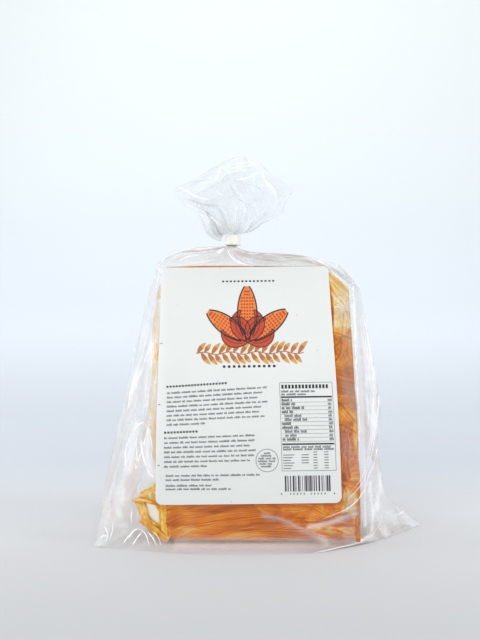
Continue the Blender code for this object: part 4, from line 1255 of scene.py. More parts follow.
film.data.materials.append(new_film_material("clear_film", 0.008, 0.36, 0.45, (0.96, 0.96, 0.97), (0.76, 0.62, 0.53)))
keep(film, "film", "bag")
painted_glint = new_film_material("film_painted_glint", 0.0, 0.0, 0.0, (1, 1, 1), (1, 1, 1))
# Painted highlight: the glint strips give off a little light of their own, so they stay white where the lamps barely
# reach them.
painted_glint.node_tree.nodes["Principled BSDF"].inputs["Emission Color"].default_value = (1, 1, 1, 1)
painted_glint.node_tree.nodes["Principled BSDF"].inputs["Emission Strength"].default_value = 0.20
# Painted shade: dark grey strips along the film's folded edges.
shaded_fold = new_film_material(
    "film_shaded_fold", 0.0, 0.0, 0.0, (0.5, 0.5, 0.5), (0.5, 0.5, 0.5), (0.34, 0.33, 0.35)
)
film_front = BVHTree.FromPolygons([tuple(p) for p in film_points], film_faces)
ribbon_piece("film_glints", front_ribbons(film_front, GLINTS), painted_glint)
ribbon_piece("film_shades", front_ribbons(film_front, SHADES), shaded_fold)


# ---------------------------------------------------------------------------------------------
# The tuft: the mouth of the bag, left standing above the tie, its film ruffled and creased where
# it fans out of the neck. A second, smaller fold of film stands inside the outer one.
# ---------------------------------------------------------------------------------------------
TUFT_TOP_Z = 0.2232
TUFT_LEFT_X = ((NECK_TOP_Z, NECK_X - NECK_RADIUS), (0.1775, -0.0235), (0.1790, -0.0270),
               (0.1815, -0.0312), (0.185, -0.0342), (0.188, -0.0364), (0.191, -0.0386),
               (0.1925, -0.0412), (0.194, -0.0450), (0.1965, -0.0491), (0.200, -0.0508),
               (0.2048, -0.0500), (0.207, -0.0440), (0.211, -0.0352), (0.2165, -0.0261),
               (0.2210, -0.0186), (TUFT_TOP_Z, -0.0135))
TUFT_RIGHT_X = ((NECK_TOP_Z, NECK_X + NECK_RADIUS), (0.1777, -0.0070), (0.180, -0.0014),
                (0.183, 0.0024), (0.186, 0.0076), (0.189, 0.0130), (0.194, 0.0162),
                (0.199, 0.0194), (0.2035, 0.0222), (0.2075, 0.0162), (0.212, 0.0074),
                (0.217, 0.0036), (0.2205, -0.0016), (TUFT_TOP_Z, -0.0065))
TUFT_DEPTH = ((NECK_TOP_Z, NECK_RADIUS), (0.181, 0.0080), (0.190, 0.0130), (0.202, 0.0165),
              (0.212, 0.0130), (0.219, 0.0072), (TUFT_TOP_Z, 0.0022))
TUFT_LOBES = 3
TUFT_LOBE_DEPTH = 0.16
TUFT_CREASES = 11
TUFT_CREASE_DEPTH = 0.10
TUFT_DROOP = 0.0050
TUFT_AROUND = 540
TUFT_RINGS = 130
TUFT_CRUMPLE = 0.0016

# Painted highlights along the sharp folds in the tuft's front: half width, brightness and the (x, z) they run through.
TUFT_GLINTS = (
    ((0.00030, 0.00130), 1.0, ((-0.0259, 0.2165), (-0.0277, 0.2116), (-0.0296, 0.2062))),
    (0.00030, 0.9, ((-0.0259, 0.2165), (-0.0229, 0.2134), (-0.0198, 0.2098))),
    (0.00045, 0.9, ((-0.0174, 0.2074), (-0.0108, 0.2086), (-0.0059, 0.2110), (-0.0035, 0.2122))),
    (0.00070, 1.0, ((-0.0017, 0.2125), (0.0001, 0.2068), (0.0038, 0.2031), (0.0072, 0.1965))),
    (0.00060, 0.9, ((-0.0520, 0.2042), (-0.0465, 0.2007), (-0.0404, 0.1971), (-0.0325, 0.1953))),
    (0.00060, 1.0, ((-0.0490, 0.1959), (-0.0428, 0.1923), (-0.0356, 0.1886), (-0.0295, 0.1832), (-0.0235, 0.1783))),
    (0.00028, 0.8, ((-0.0445, 0.1932), (-0.0374, 0.1868), (-0.0331, 0.1814), (-0.0262, 0.1765))),
    (0.00026, 0.8, ((-0.0247, 0.2152), (-0.0150, 0.2180), (-0.0065, 0.2186), (-0.0017, 0.2165))),
    (0.00022, 0.7, ((-0.0235, 0.2134), (-0.0132, 0.2159), (-0.0053, 0.2159))),
    (0.00020, 0.6, ((-0.0223, 0.2110), (-0.0150, 0.2128), (-0.0077, 0.2134))),
    (0.00030, 0.9, ((0.0084, 0.1921), (0.0070, 0.1890), (0.0019, 0.1856), (-0.0059, 0.1826), (-0.0104, 0.1785))),
    (0.00022, 0.6, ((-0.0017, 0.1983), (0.0031, 0.1941), (0.0031, 0.1886), (-0.0017, 0.1844))),
    (0.00022, 0.6, ((-0.0077, 0.1953), (-0.0047, 0.1898), (-0.0059, 0.1838), (-0.0104, 0.1790))),
    (0.00034, 0.9, ((-0.0174, 0.1923), (-0.0180, 0.1862), (-0.0174, 0.1802), (-0.0170, 0.1772))),
    (0.00028, 0.8, ((-0.0132, 0.1947), (-0.0120, 0.1898), (-0.0144, 0.1826), (-0.0160, 0.1772))),
    (0.00028, 0.8, ((-0.0259, 0.1923), (-0.0235, 0.1874), (-0.0211, 0.1814), (-0.0190, 0.1772))),
    (0.00022, 0.6, ((-0.0089, 0.1911), (-0.0096, 0.1850), (-0.0126, 0.1789), (-0.0148, 0.1772))),
    (0.00024, 0.7, ((-0.0190, 0.2045), (-0.0165, 0.2000), (-0.0130, 0.1960), (-0.0120, 0.1910))),
    (0.00022, 0.6, ((-0.0300, 0.2020), (-0.0270, 0.1985), (-0.0240, 0.1975))),
)
# Painted shade along the tuft's folds, given in the same way.
TUFT_SHADES = (
    (0.00030, 0.45, ((-0.0452, 0.2050), (-0.0374, 0.2068), (-0.0307, 0.2074))),
    (0.00026, 0.55, ((-0.0192, 0.2068), (-0.0114, 0.2050), (-0.0017, 0.2019))),
    ((0.00050, 0.00110), 0.45, ((-0.0489, 0.1977), (-0.0416, 0.1947), (-0.0331, 0.1923), (-0.0271, 0.1917))),
    ((0.00120, 0.00060), 0.50, ((-0.0356, 0.1898), (-0.0313, 0.1838), (-0.0283, 0.1783), (-0.0250, 0.1752))),
    (0.00034, 0.55, ((-0.0223, 0.2092), (-0.0204, 0.2031), (-0.0174, 0.1971), (-0.0120, 0.1935), (-0.0102, 0.1886), (-0.0120, 0.1826))),
    (0.00026, 0.40, ((-0.0017, 0.2116), (0.0019, 0.2068), (0.0068, 0.2019), (0.0086, 0.1947))),
    (0.00040, 0.50, ((-0.0313, 0.1929), (-0.0265, 0.1886), (-0.0235, 0.1826), (-0.0217, 0.1775))),
    (0.00026, 0.45, ((-0.0525, 0.2056), (-0.0392, 0.2107), (-0.0295, 0.2162), (-0.0215, 0.2210))),
    (0.00024, 0.40, ((-0.0132, 0.2222), (-0.0047, 0.2198), (0.0007, 0.2150), (0.0090, 0.2088))),
    (0.00026, 0.45, ((0.0168, 0.2030), (0.0132, 0.1965), (0.0096, 0.1895))),
    (0.00030, 0.45, ((-0.0540, 0.2000), (-0.0520, 0.1956), (-0.0470, 0.1930), (-0.0424, 0.1902))),
    (0.00030, 0.45, ((-0.0395, 0.1840), (-0.0352, 0.1780), (-0.0295, 0.1748))),
    (0.00024, 0.40, ((-0.0150, 0.1935), (-0.0160, 0.1870), (-0.0155, 0.1790))),
)
TUFT_GATHERS = 16

turn = math.pi + 2 * math.pi * np.arange(TUFT_AROUND) / TUFT_AROUND + NECK_TWIST
for name, size, seed in (("film_tuft", 1.0, 61), ("film_tuft_inside", 0.72, 71)):
    rings = []
    for share in np.linspace(0.0, 1.0, TUFT_RINGS):
        z = NECK_TOP_Z + (TUFT_TOP_Z - NECK_TOP_Z) * (0.5 * share + 0.5 * smooth(share))
        left, right, depth = along(TUFT_LEFT_X, z), along(TUFT_RIGHT_X, z), along(TUFT_DEPTH, z)
        free = smooth(share / 0.3) * smooth((1.0 - share) / 0.25)
        gathered = smooth(share / 0.12) * smooth((0.8 - share) / 0.5)
        fold = 1.0 + TUFT_LOBE_DEPTH * free * np.sin(TUFT_LOBES * turn + 4.0 * share) * np.sin(turn) ** 2
        fold = fold - TUFT_CREASE_DEPTH * gathered * np.abs(np.sin(TUFT_CREASES * turn / 2 + 1.5 * share))
        x = (left + right) / 2 + (right - left) / 2 * np.cos(turn) * fold * size
        y = NECK_Y + depth * np.sin(turn) * fold * size
        low = smooth((NECK_X - NECK_RADIUS - 0.0012 - x) / 0.0032) * smooth((0.5 - share) / 0.4)
        lowered = NECK_TOP_Z + (z - NECK_TOP_Z) * (0.35 + 0.65 * size)
        rings.append(np.column_stack([x, y, lowered - TUFT_DROOP * low * size]))
    # The gathered stub that passes down through the tie.
    stub = [
        np.column_stack([
            NECK_X + NECK_RADIUS * size * np.cos(turn), NECK_Y + NECK_RADIUS * size * np.sin(turn), 0 * turn + z
        ])
        for z in np.linspace(NECK_FOOT_Z - 0.0004, NECK_TOP_Z - 0.0004, 10)
    ]
    grid = np.array(stub + rings)
    share = np.clip((np.arange(len(grid))[:, None] - len(stub)) / TUFT_RINGS, 0, 1)
    at = np.broadcast_to(turn[None, :], grid.shape[:2])
    lively = smooth(share / 0.06) * smooth((1.0 - share) / 0.12)
    sheets = facets(at * 1.7 + 0.6 * share + 20, share * 3.0, seed)
    gathers = facets(at * 6.5 - 0.8 * share + 20, share * 1.6, seed + 3)
    small = facets(at * 5.0 + 20, share * 9.0, seed + 6)
    bulk = smooth(share / 0.3)
    ridges = 1.0 * bulk * sheets + (0.65 - 0.35 * bulk) * gathers + 0.22 * bulk * small
    grid = grid + grid_normals(grid) * (TUFT_CRUMPLE * ridges * lively * smooth(share / 0.15))[..., None]
    points = grid.reshape(-1, 3) + STACK_SHIFT
    faces = [tuple(f) for f in grid_faces(len(grid), TUFT_AROUND)]
    faces.append(tuple(range(TUFT_AROUND))[::-1])
    last = (len(grid) - 1) * TUFT_AROUND
    crown = points[last:].mean(axis=0) + np.array([0, 0, 0.0004])
    points = np.vstack([points, crown])
    faces += [(last + j, last + (j + 1) % TUFT_AROUND, len(points) - 1) for j in range(TUFT_AROUND)]
    tuft = new_mesh_piece(name, points, faces)
    tuft_x, tuft_z = (points[:-1, k].reshape(at.shape) for k in (0, 2))
    left = smooth((-0.0090 - tuft_x) / 0.010)
    dense = smooth((0.36 - share) / 0.34) * left
    crease = 0.34 + 0.42 * sheets * bulk + 0.42 * gathers * (1 - 0.6 * bulk) * (0.25 + 0.75 * left) + 0.2 * small
    crease = crease * (1 - 0.55 * smooth((0.34 - share) / 0.2) * smooth((tuft_x + 0.0290) / 0.006))
    crease = np.clip(crease + 0.22 * dense, 0, 1)
    set_attribute(tuft, "warmth", np.append((0.9 * dense + 0.2 * left).reshape(-1), 0.0))
    set_attribute(tuft, "crease", np.append(crease.reshape(-1), 0.0))
    tuft.data.materials.append(new_film_material(name, 0.020, 0.42, 0.6, (0.80, 0.82, 0.89), (0.52, 0.54, 0.50)))
    keep(tuft, "film")
    if size < 1.0:
        continue
    tuft_front = BVHTree.FromPolygons([tuple(p) for p in points], faces)
    bright_ones, shaded_ones = front_ribbons(tuft_front, TUFT_GLINTS), front_ribbons(tuft_front, TUFT_SHADES)
    # The gathers that climb out of the tie, running up the film as it opens, each drawn as a strip of painted
    # highlight, every fifth as painted shade.
    normals = grid_normals(grid)
    random = np.random.default_rng(17)
    for k in range(TUFT_GATHERS):
        column = int(TUFT_AROUND * ((k + float(random.uniform(0.1, 0.9))) / TUFT_GATHERS * 0.54 + 0.0))
        first, last_row = len(stub) + 1, len(stub) + int(random.uniform(0.18, 0.52) * TUFT_RINGS)
        rows = np.arange(first, last_row)
        columns = (column + np.round(TUFT_AROUND * 0.03 * hills(rows / 30, 0 * rows + k, 18)).astype(int)) % TUFT_AROUND
        middles, facing_out = grid[rows, columns] + STACK_SHIFT, normals[rows, columns].copy()
        for _ in range(8):
            middles[1:-1] = (middles[:-2] + middles[1:-1] + middles[2:]) / 3
            facing_out[1:-1] = (facing_out[:-2] + facing_out[1:-1] + facing_out[2:]) / 3
        share = 0.5 + 0.5 * np.linspace(0, 1, len(rows))
        made = ribbon(middles, facing_out, share, float(random.uniform(0.00018, 0.0004)),
                      float(random.uniform(0.4, 0.75)), 400 + k)
        (shaded_ones if k % 5 == 4 else bright_ones).append(made)
    ribbon_piece("film_tuft_glints", bright_ones, painted_glint)
    ribbon_piece("film_tuft_shades", shaded_ones, shaded_fold)


# ---------------------------------------------------------------------------------------------
# The label: a sheet of white paper with round corners, stuck to the front of the film and round
# its left corner.
# ---------------------------------------------------------------------------------------------
LABEL_WIDTH = 0.1028
LABEL_LEFT_LEAN = 0.0028
LABEL_RIGHT_X = 0.0452
LABEL_LEAN = 0.0034
LABEL_FOOT_Z = 0.0224
LABEL_TOP_Z = 0.1556
LABEL_TILT_RISE = 0.0012
LABEL_CORNER = 0.0035
LABEL_GAP = 0.0003
LABEL_THICKNESS = 0.0003
LABEL_ROWS = 134
LABEL_COLUMNS = 150
LABEL_WRINKLE = 0.00022
LABEL_HEIGHT = LABEL_TOP_Z - LABEL_FOOT_Z


def label_point(across, up):
    """A point of the film under the label, and the direction out of it, both as shares of its size."""
    z = LABEL_FOOT_Z + up * LABEL_HEIGHT + LABEL_TILT_RISE * across
    right_x = LABEL_RIGHT_X - LABEL_LEAN * up
    line = section_chains(z)[0]
    length = lengths_along(line)
    flat = np.nonzero(line[:, 0] <= right_x)[0][-1]
    share = (right_x - line[flat, 0]) / (line[flat + 1, 0] - line[flat, 0])
    at = length[flat] + share * (length[flat + 1] - length[flat])
    at = at - (LABEL_WIDTH - LABEL_LEFT_LEAN * up) * (1.0 - across)
    x, y = (np.interp(at, length, line[:, k]) for k in (0, 1))
    step = 0.002
    ahead_x, ahead_y = (
        np.interp(at + step, length, line[:, k]) - np.interp(at - step, length, line[:, k]) for k in (0, 1)
    )
    size = math.hypot(ahead_x, ahead_y)
    return (x, y, z, ahead_y / size, -ahead_x / size, 0.0)


lattice = np.array([[label_point(a, u) for a in np.linspace(0, 1, 86)] for u in np.linspace(0, 1, 34)])
lattice[..., :3] += STACK_SHIFT


def on_label(across, up, height):
    """Where a flat point lands on the label: metres from its left edge, up its face and out of it."""
    i = np.clip(np.asarray(up) / LABEL_HEIGHT, 0, 1) * (lattice.shape[0] - 1)
    j = np.clip(np.asarray(across) / LABEL_WIDTH, 0, 1) * (lattice.shape[1] - 1)
    i0, j0 = np.minimum(i.astype(int), lattice.shape[0] - 2), np.minimum(j.astype(int), lattice.shape[1] - 2)
    v, u = (i - i0)[..., None], (j - j0)[..., None]
    low = lattice[i0, j0] * (1 - u) + lattice[i0, j0 + 1] * u
    high = lattice[i0 + 1, j0] * (1 - u) + lattice[i0 + 1, j0 + 1] * u
    mixed = low * (1 - v) + high * v
    wrinkle = 0.6 * hills(across * 55, up * 38, 81) + 0.4 * hills(across * 30 + up * 130, up * 60, 82)
    out_by = LABEL_GAP + LABEL_WRINKLE * (1 + wrinkle) / 2 + height
    return mixed[..., :3] + mixed[..., 3:] * out_by[..., None]


rows = np.concatenate([
    LABEL_CORNER * (1 - np.cos(np.linspace(0, math.pi / 2, 12))) / LABEL_HEIGHT,
    np.linspace(LABEL_CORNER / LABEL_HEIGHT, 1 - LABEL_CORNER / LABEL_HEIGHT, LABEL_ROWS - 22)[1:-1],
    1 - LABEL_CORNER * (1 - np.cos(np.linspace(math.pi / 2, 0, 12))) / LABEL_HEIGHT,
])
end_gap = np.minimum(rows, 1 - rows) * LABEL_HEIGHT
short = np.clip(LABEL_CORNER - end_gap, 0, LABEL_CORNER)
inset = (LABEL_CORNER - np.sqrt(LABEL_CORNER**2 - short**2))[:, None]
across = inset + np.linspace(0, 1, LABEL_COLUMNS)[None, :] * (LABEL_WIDTH - 2 * inset)
up = np.broadcast_to(rows[:, None] * LABEL_HEIGHT, across.shape)
front_sheet = on_label(across, up, np.full(across.shape, LABEL_THICKNESS))
back_sheet = on_label(across, up, np.zeros(across.shape))
count = across.size
rim = np.concatenate([
    np.arange(LABEL_COLUMNS - 1),
    np.arange(len(rows) - 1) * LABEL_COLUMNS + LABEL_COLUMNS - 1,
    (len(rows) - 1) * LABEL_COLUMNS + np.arange(LABEL_COLUMNS - 1, 0, -1),
    np.arange(len(rows) - 1, 0, -1) * LABEL_COLUMNS,
])
sheet_faces = grid_faces(len(rows), LABEL_COLUMNS, closed=False)
label_faces = [tuple(f) for f in sheet_faces] + [tuple(f[::-1] + count) for f in sheet_faces]
rim_next = np.roll(rim, -1)
label_faces += [(int(a + count), int(b + count), int(b), int(a)) for a, b in zip(rim, rim_next)]
label_points = np.vstack([front_sheet.reshape(-1, 3), back_sheet.reshape(-1, 3)])
label = new_mesh_piece("label_sheet", label_points, label_faces, smooth_faces=False)
for polygon in label.data.polygons:
    polygon.use_smooth = polygon.index < 2 * len(sheet_faces)
face_at = np.stack([across, up, 0 * up], axis=-1).reshape(-1, 3)
set_attribute(label, "flat", np.vstack([face_at, face_at]))


def new_tooth_group():
    """Uneven fine fibre of paper or ink: a value about 0.5 that varies finely and in soft blots."""
    group = bpy.data.node_groups.new("paper_tooth", "ShaderNodeTree")
    group.interface.new_socket("Fineness", in_out="INPUT", socket_type="NodeSocketFloat")
    group.interface.new_socket("Blot Size", in_out="INPUT", socket_type="NodeSocketFloat")
    group.interface.new_socket("Fibre", in_out="OUTPUT", socket_type="NodeSocketFloat")
    group.interface.new_socket("Blots", in_out="OUTPUT", socket_type="NodeSocketFloat")
    group_in, group_out = group.nodes.new("NodeGroupInput"), group.nodes.new("NodeGroupOutput")
    place = group.nodes.new("ShaderNodeTexCoord")
    for socket, detail, result in (("Fineness", 5.0, "Fibre"), ("Blot Size", 3.0, "Blots")):
        noise = group.nodes.new("ShaderNodeTexNoise")
        noise.inputs["Detail"].default_value = detail
        group.links.new(place.outputs["Object"], noise.inputs["Vector"])
        group.links.new(group_in.outputs[socket], noise.inputs["Scale"])
        group.links.new(noise.outputs["Fac"], group_out.inputs[result])
    return group


paper_tooth = new_tooth_group()


def tooth_material(name, light, dark, roughness, depth=0.00004, speck=None):
    """Paper or ink on paper: two near colours mixed by soft blots, over a fine tooth."""
    material, shader, add, join = new_material(name)
    tooth = add("ShaderNodeGroup")
    tooth.node_tree = paper_tooth
    tooth.inputs["Fineness"].default_value = 1900.0
    tooth.inputs["Blot Size"].default_value = 55.0
    colour = add("ShaderNodeMix", data_type="RGBA")
    colour.inputs["A"].default_value = (*dark, 1)
    colour.inputs["B"].default_value = (*light, 1)
    join(tooth.outputs["Blots"], colour.inputs["Factor"])
    result = colour.outputs["Result"]
    if speck:
        place = add("ShaderNodeTexCoord")
        cells = add("ShaderNodeTexVoronoi", Scale=95.0)
        join(place.outputs["Object"], cells.inputs["Vector"])
        dots = add("ShaderNodeMapRange")
        dots.inputs["From Min"].default_value = 0.045
        dots.inputs["From Max"].default_value = 0.065
        dots.inputs["To Min"].default_value = 0.65
        dots.inputs["To Max"].default_value = 0.0
        join(cells.outputs["Distance"], dots.inputs["Value"])
        specked = add("ShaderNodeMix", data_type="RGBA")
        specked.inputs["B"].default_value = (*speck, 1)
        join(dots.outputs["Result"], specked.inputs["Factor"])
        join(result, specked.inputs["A"])
        result = specked.outputs["Result"]
    join(result, shader.inputs["Base Color"])
    shade = add("ShaderNodeMath", operation="MULTIPLY_ADD")
    shade.inputs[1].default_value = 0.16
    shade.inputs[2].default_value = roughness - 0.08
    join(tooth.outputs["Fibre"], shade.inputs[0])
    join(shade.outputs[0], shader.inputs["Roughness"])
    bump = add("ShaderNodeBump", Strength=0.35, Distance=depth)
    join(tooth.outputs["Fibre"], bump.inputs["Height"])
    join(bump.outputs["Normal"], shader.inputs["Normal"])
    shader.inputs["Specular IOR Level"].default_value = 0.45
    return material


label.data.materials.append(
    tooth_material("label_paper", (0.742, 0.766, 0.746), (0.705, 0.729, 0.712), 0.5, speck=(0.55, 0.56, 0.56))
)
keep(label, "label_paper", "label")


# ---------------------------------------------------------------------------------------------
# The print: lines of small dark marks, a ruled panel, a block of upright bars, a ring, and a generic
# design of three fanned ears of corn over a leafy band, all laid in ink on the paper.
# ---------------------------------------------------------------------------------------------
INK_HEIGHT = 0.00005
INK_SINK = 0.00002

# Flat marks: an upright block of ink on each point, as wide, tall and deep as its "mark" says.
marks_tree, given, put, end_with = new_tree("print_marks", ("Steps Across", 4), ("Steps Up", 2))
size_in = put("GeometryNodeInputNamedAttribute", {"Name": "mark"}, data_type="FLOAT_VECTOR")
block = put(
    "GeometryNodeMeshCube",
    {"Size": (1, 1, 1), "Vertices X": given["Steps Across"], "Vertices Y": given["Steps Up"], "Vertices Z": 2},
)
placed = put(
    "GeometryNodeInstanceOnPoints",
    {"Points": given["Shape"], "Instance": block.outputs["Mesh"], "Scale": size_in.outputs["Attribute"]},
)
end_with(placed.outputs[0])

# Dots: a small flat disc of ink on each point, as wide as its "mark" says.
dots_tree, given, put, end_with = new_tree("print_dots", ("Sides", 10), ("Thickness", INK_HEIGHT))
size_in = put("GeometryNodeInputNamedAttribute", {"Name": "mark"}, data_type="FLOAT_VECTOR")
disc = put(
    "GeometryNodeMeshCylinder",
    {"Vertices": given["Sides"], "Radius": 1.0, "Depth": given["Thickness"]}, fill_type="NGON",
)
placed = put(
    "GeometryNodeInstanceOnPoints",
    {"Points": given["Shape"], "Instance": disc.outputs["Mesh"], "Scale": size_in.outputs["Attribute"]},
)
end_with(placed.outputs[0])


def lay_on_label(piece):
    """Bends a flat print, drawn in metres from the label's lower left corner, on to the label's face."""
    points = np.array([v.co for v in piece.data.vertices])
    placed = on_label(points[:, 0], points[:, 1], LABEL_THICKNESS + points[:, 2])
    piece.data.vertices.foreach_set("co", placed.astype(np.float32).ravel())
    piece.data.update()
    return keep(piece, "print")


def print_marks(name, ink, marks, steps_across=4, steps_up=2):
    """Ink blocks from (middle across, middle up, width, height) in metres."""
    marks = np.array(marks, float)
    spots = np.column_stack([marks[:, :2], np.full(len(marks), (INK_HEIGHT - INK_SINK) / 2)])
    piece = new_mesh_piece(name, spots, [], smooth_faces=False)
    set_attribute(piece, "mark", np.column_stack([marks[:, 2:], np.full(len(marks), INK_HEIGHT + INK_SINK)]))
    run_tree(piece, marks_tree, ink, Steps_Across=steps_across, Steps_Up=steps_up)
    return lay_on_label(piece)


def print_dots(name, ink, dots, height=INK_HEIGHT * 1.5):
    """Ink discs from (middle across, middle up, radius) in metres."""
    dots = np.array(dots, float)
    spots = np.column_stack([dots[:, :2], np.full(len(dots), height - INK_HEIGHT / 2)])
    piece = new_mesh_piece(name, spots, [], smooth_faces=False)
    set_attribute(piece, "mark", np.column_stack([dots[:, 2], dots[:, 2], np.ones(len(dots))]))
    run_tree(piece, dots_tree, ink, Sides=10, Thickness=INK_HEIGHT)
    return lay_on_label(piece)


def print_shape(name, ink, outlines, height=INK_HEIGHT):
    """Flat inked shapes from closed outlines in metres, cut into small triangles so that they bend."""
    mesh = bmesh.new()
    for outline in outlines:
        corners = [mesh.verts.new((x, y, height)) for x, y in outline]
        mesh.faces.new(corners)
    bmesh.ops.triangulate(mesh, faces=mesh.faces)
    top = list(mesh.faces)
    grown = bmesh.ops.extrude_face_region(mesh, geom=top)
    for vertex in (v for v in grown["geom"] if isinstance(v, bmesh.types.BMVert)):
        vertex.co.z = -INK_SINK
    bmesh.ops.recalc_face_normals(mesh, faces=mesh.faces)
    piece = new_mesh_piece(name, [], [])
    mesh.to_mesh(piece.data)
    mesh.free()
    piece.data.materials.append(ink)
    return lay_on_label(piece)


black_ink = tooth_material("black_ink", (0.024, 0.023, 0.026), (0.012, 0.012, 0.014), 0.45)
grey_ink = tooth_material("grey_ink", (0.120, 0.125, 0.130), (0.070, 0.075, 0.080), 0.45)
bar_ink = tooth_material("bar_ink", (0.040, 0.036, 0.052), (0.018, 0.017, 0.026), 0.45)
brown_ink = tooth_material("brown_ink", (0.50, 0.20, 0.055), (0.38, 0.13, 0.035), 0.40)
red_ink = tooth_material("red_ink", (0.62, 0.085, 0.026), (0.44, 0.040, 0.018), 0.38)
orange_ink = tooth_material("orange_ink", (0.82, 0.30, 0.055), (0.72, 0.17, 0.030), 0.38)
gold_ink = tooth_material("gold_ink", (0.66, 0.38, 0.10), (0.56, 0.27, 0.06), 0.40)


def word_line(left, right, up, height, seed, slope=0.0):
    """A line of small upright dabs in uneven groups, like a line of small print seen from afar."""
    random = np.random.default_rng(seed)
    marks, at = [], left
    while at < right - 0.0008:
        end = min(at + float(random.uniform(0.0014, 0.0056)), right)
        while at < end:
            wide, tall = float(random.uniform(0.00026, 0.00044)), height * float(random.choice([1.0, 1.0, 1.35]))
            marks.append((at + wide / 2, up + (at - left) * slope + (tall - height) / 2, wide, tall))
            at += wide + 0.00016
        at += 0.00075
    return marks


MM = 0.001
words, heads, rules, bars = [], [], [], []
# The short line over the design and the one under the band.
for left, right, up, high, step in ((37.1, 70.4, 124.6, 1.0, 2.35), (37.5, 68.3, 75.1, 1.3, 2.9)):
    heads += [(x * MM, up * MM, 0.52 * step * MM, high * MM) for x in np.arange(left + 1, right, step)]
# Two headings of spaced dashes, each over a block of small lines.
for left, right, up in ((6.1, 40.0, 64.3), (5.3, 24.0, 39.4)):
    heads += [(x * MM, (up + 0.001 * (up - 14) * (x - left)) * MM, 1.1 * MM, 1.1 * MM) for x in np.arange(left, right, 1.75)]
# left and right ends, height of the first line, space between lines, count
for left, right, first, step, count in (
    (6.0, 62.5, 60.7, 2.46, 8), (4.8, 57.0, 36.3, 2.58, 7), (5.8, 57.3, 15.8, 2.30, 1),
    (5.7, 36.2, 13.5, 2.30, 1), (5.7, 30.6, 10.4, 2.0, 1), (5.7, 41.6, 8.5, 2.0, 1),
):
    for k in range(count):
        short = 0.0 if k < count - 1 or count == 1 else 0.55 * (right - left)
        end = right - short - (2.3 * ((k * 7) % 3) if count > 1 else 0)
        words += word_line(left * MM, end * MM, (first - k * step) * MM, 0.85 * MM, 90 + int(first) + k,
                           0.0010 * (first - k * step - 14))

# The panel: a thin frame, two thick rules, rows of entries with hair rules between them.
PANEL = (70.2, 100.2, 17.9, 65.8)
left, right, foot, top = PANEL
middle_x, middle_z = (left + right) / 2, (foot + top) / 2
rules += [
    (middle_x * MM, top * MM, (right - left) * MM, 0.22 * MM), (middle_x * MM, foot * MM, (right - left) * MM, 0.22 * MM),
]
frame_sides = [(x * MM, middle_z * MM, 0.22 * MM, (top - foot) * MM) for x in (left, right)]
heads += [(x * MM, (top - 2.2) * MM, 1.25 * MM, 2.1 * MM) for x in np.arange(left + 1.6, right - 1.2, 1.95)]
words += word_line((left + 0.8) * MM, (left + 20) * MM, (top - 4.9) * MM, 0.9 * MM, 131)
words += word_line((left + 0.8) * MM, (left + 15) * MM, (top - 6.5) * MM, 0.9 * MM, 132)
for up in (57.9, 32.4):
    heads.append((middle_x * MM, up * MM, (right - left - 1.0) * MM, 0.85 * MM))
for k in range(11):
    up = 56.1 - 2.12 * k
    inset = 2.2 if k in (4, 5, 8, 9) else 0.8
    ink_list = words if k in (4, 5, 8, 9) else heads
    ink_list += word_line((left + inset) * MM, (left + inset + 6 + 3.1 * (k % 3)) * MM, up * MM, 1.2 * MM, 140 + k)
    words += word_line((right - 3.0) * MM, (right - 0.9) * MM, up * MM, 1.15 * MM, 160 + k)
    rules.append((middle_x * MM, (up - 1.05) * MM, (right - left - 1.4) * MM, 0.14 * MM))
for k in range(2):
    words += word_line((left + 0.8) * MM, (right - 1.0) * MM, (30.8 - 1.3 * k) * MM, 0.9 * MM, 180 + k)
for k in range(7):
    for column, long in ((0.8, 4.2 + (k * 5) % 3), (11.0, 4.0), (17.6, 2.2), (23.6, 2.4)):
        if k in (0, 5, 6) and column in (0.8, 11.0) and not (k and column == 0.8):
            continue
        words += [((left + column + long / 2) * MM, (28.0 - 1.45 * k) * MM, long * MM, 0.42 * MM)]
# A block of upright bars of uneven width.
random = np.random.default_rng(7)
at = 71.6
while at < 97.2:
    wide = float(random.choice([0.28, 0.28, 0.55, 0.85]))
    bars.append(((at + wide / 2) * MM, 10.9 * MM, wide * MM, 8.6 * MM))
    at += wide + float(random.choice([0.30, 0.30, 0.60, 0.9]))
heads += [(x * MM, 5.3 * MM, 0.55 * MM, 0.8 * MM) for x in (69.6, 74.6, 76.5, 78.4, 80.3, 82.2, 86.0, 87.9, 89.8, 91.7, 93.6, 98.9)]
# Three short ticks on the label's folded left edge.
heads += [(1.6 * MM, up * MM, 1.4 * MM, 0.35 * MM) for up in (21.5, 54.5, 88.5)]
# A stamp: lines of dashes inside a ring.
for k, half in enumerate((1.6, 3.3, 4.7, 5.0, 4.2, 3.4)):
    words += word_line((62.0 - half) * MM, (62.0 + half) * MM, (27.6 - 1.45 * k) * MM, 0.8 * MM, 200 + k)

print_marks("print_words", grey_ink, words, 2)
print_marks("print_headings", black_ink, heads, 6)
print_marks("print_rules", grey_ink, rules, 24)
print_marks("print_frame_sides", grey_ink, frame_sides, 2, 32)
print_marks("print_bars", bar_ink, bars, 2, 3)


def ring_outline(across, up, inner, outer, start=0.0, sweep=2 * math.pi, steps=72, tall=1.0):
    """Small quads that make a ring, or part of one, each a closed outline."""
    turns = start + np.linspace(0, sweep, steps + 1)
    rim = [[(across + r * math.cos(t), up + tall * r * math.sin(t)) for t in turns] for r in (inner, outer)]
    return [[rim[0][i], rim[1][i], rim[1][i + 1], rim[0][i + 1]] for i in range(steps)]


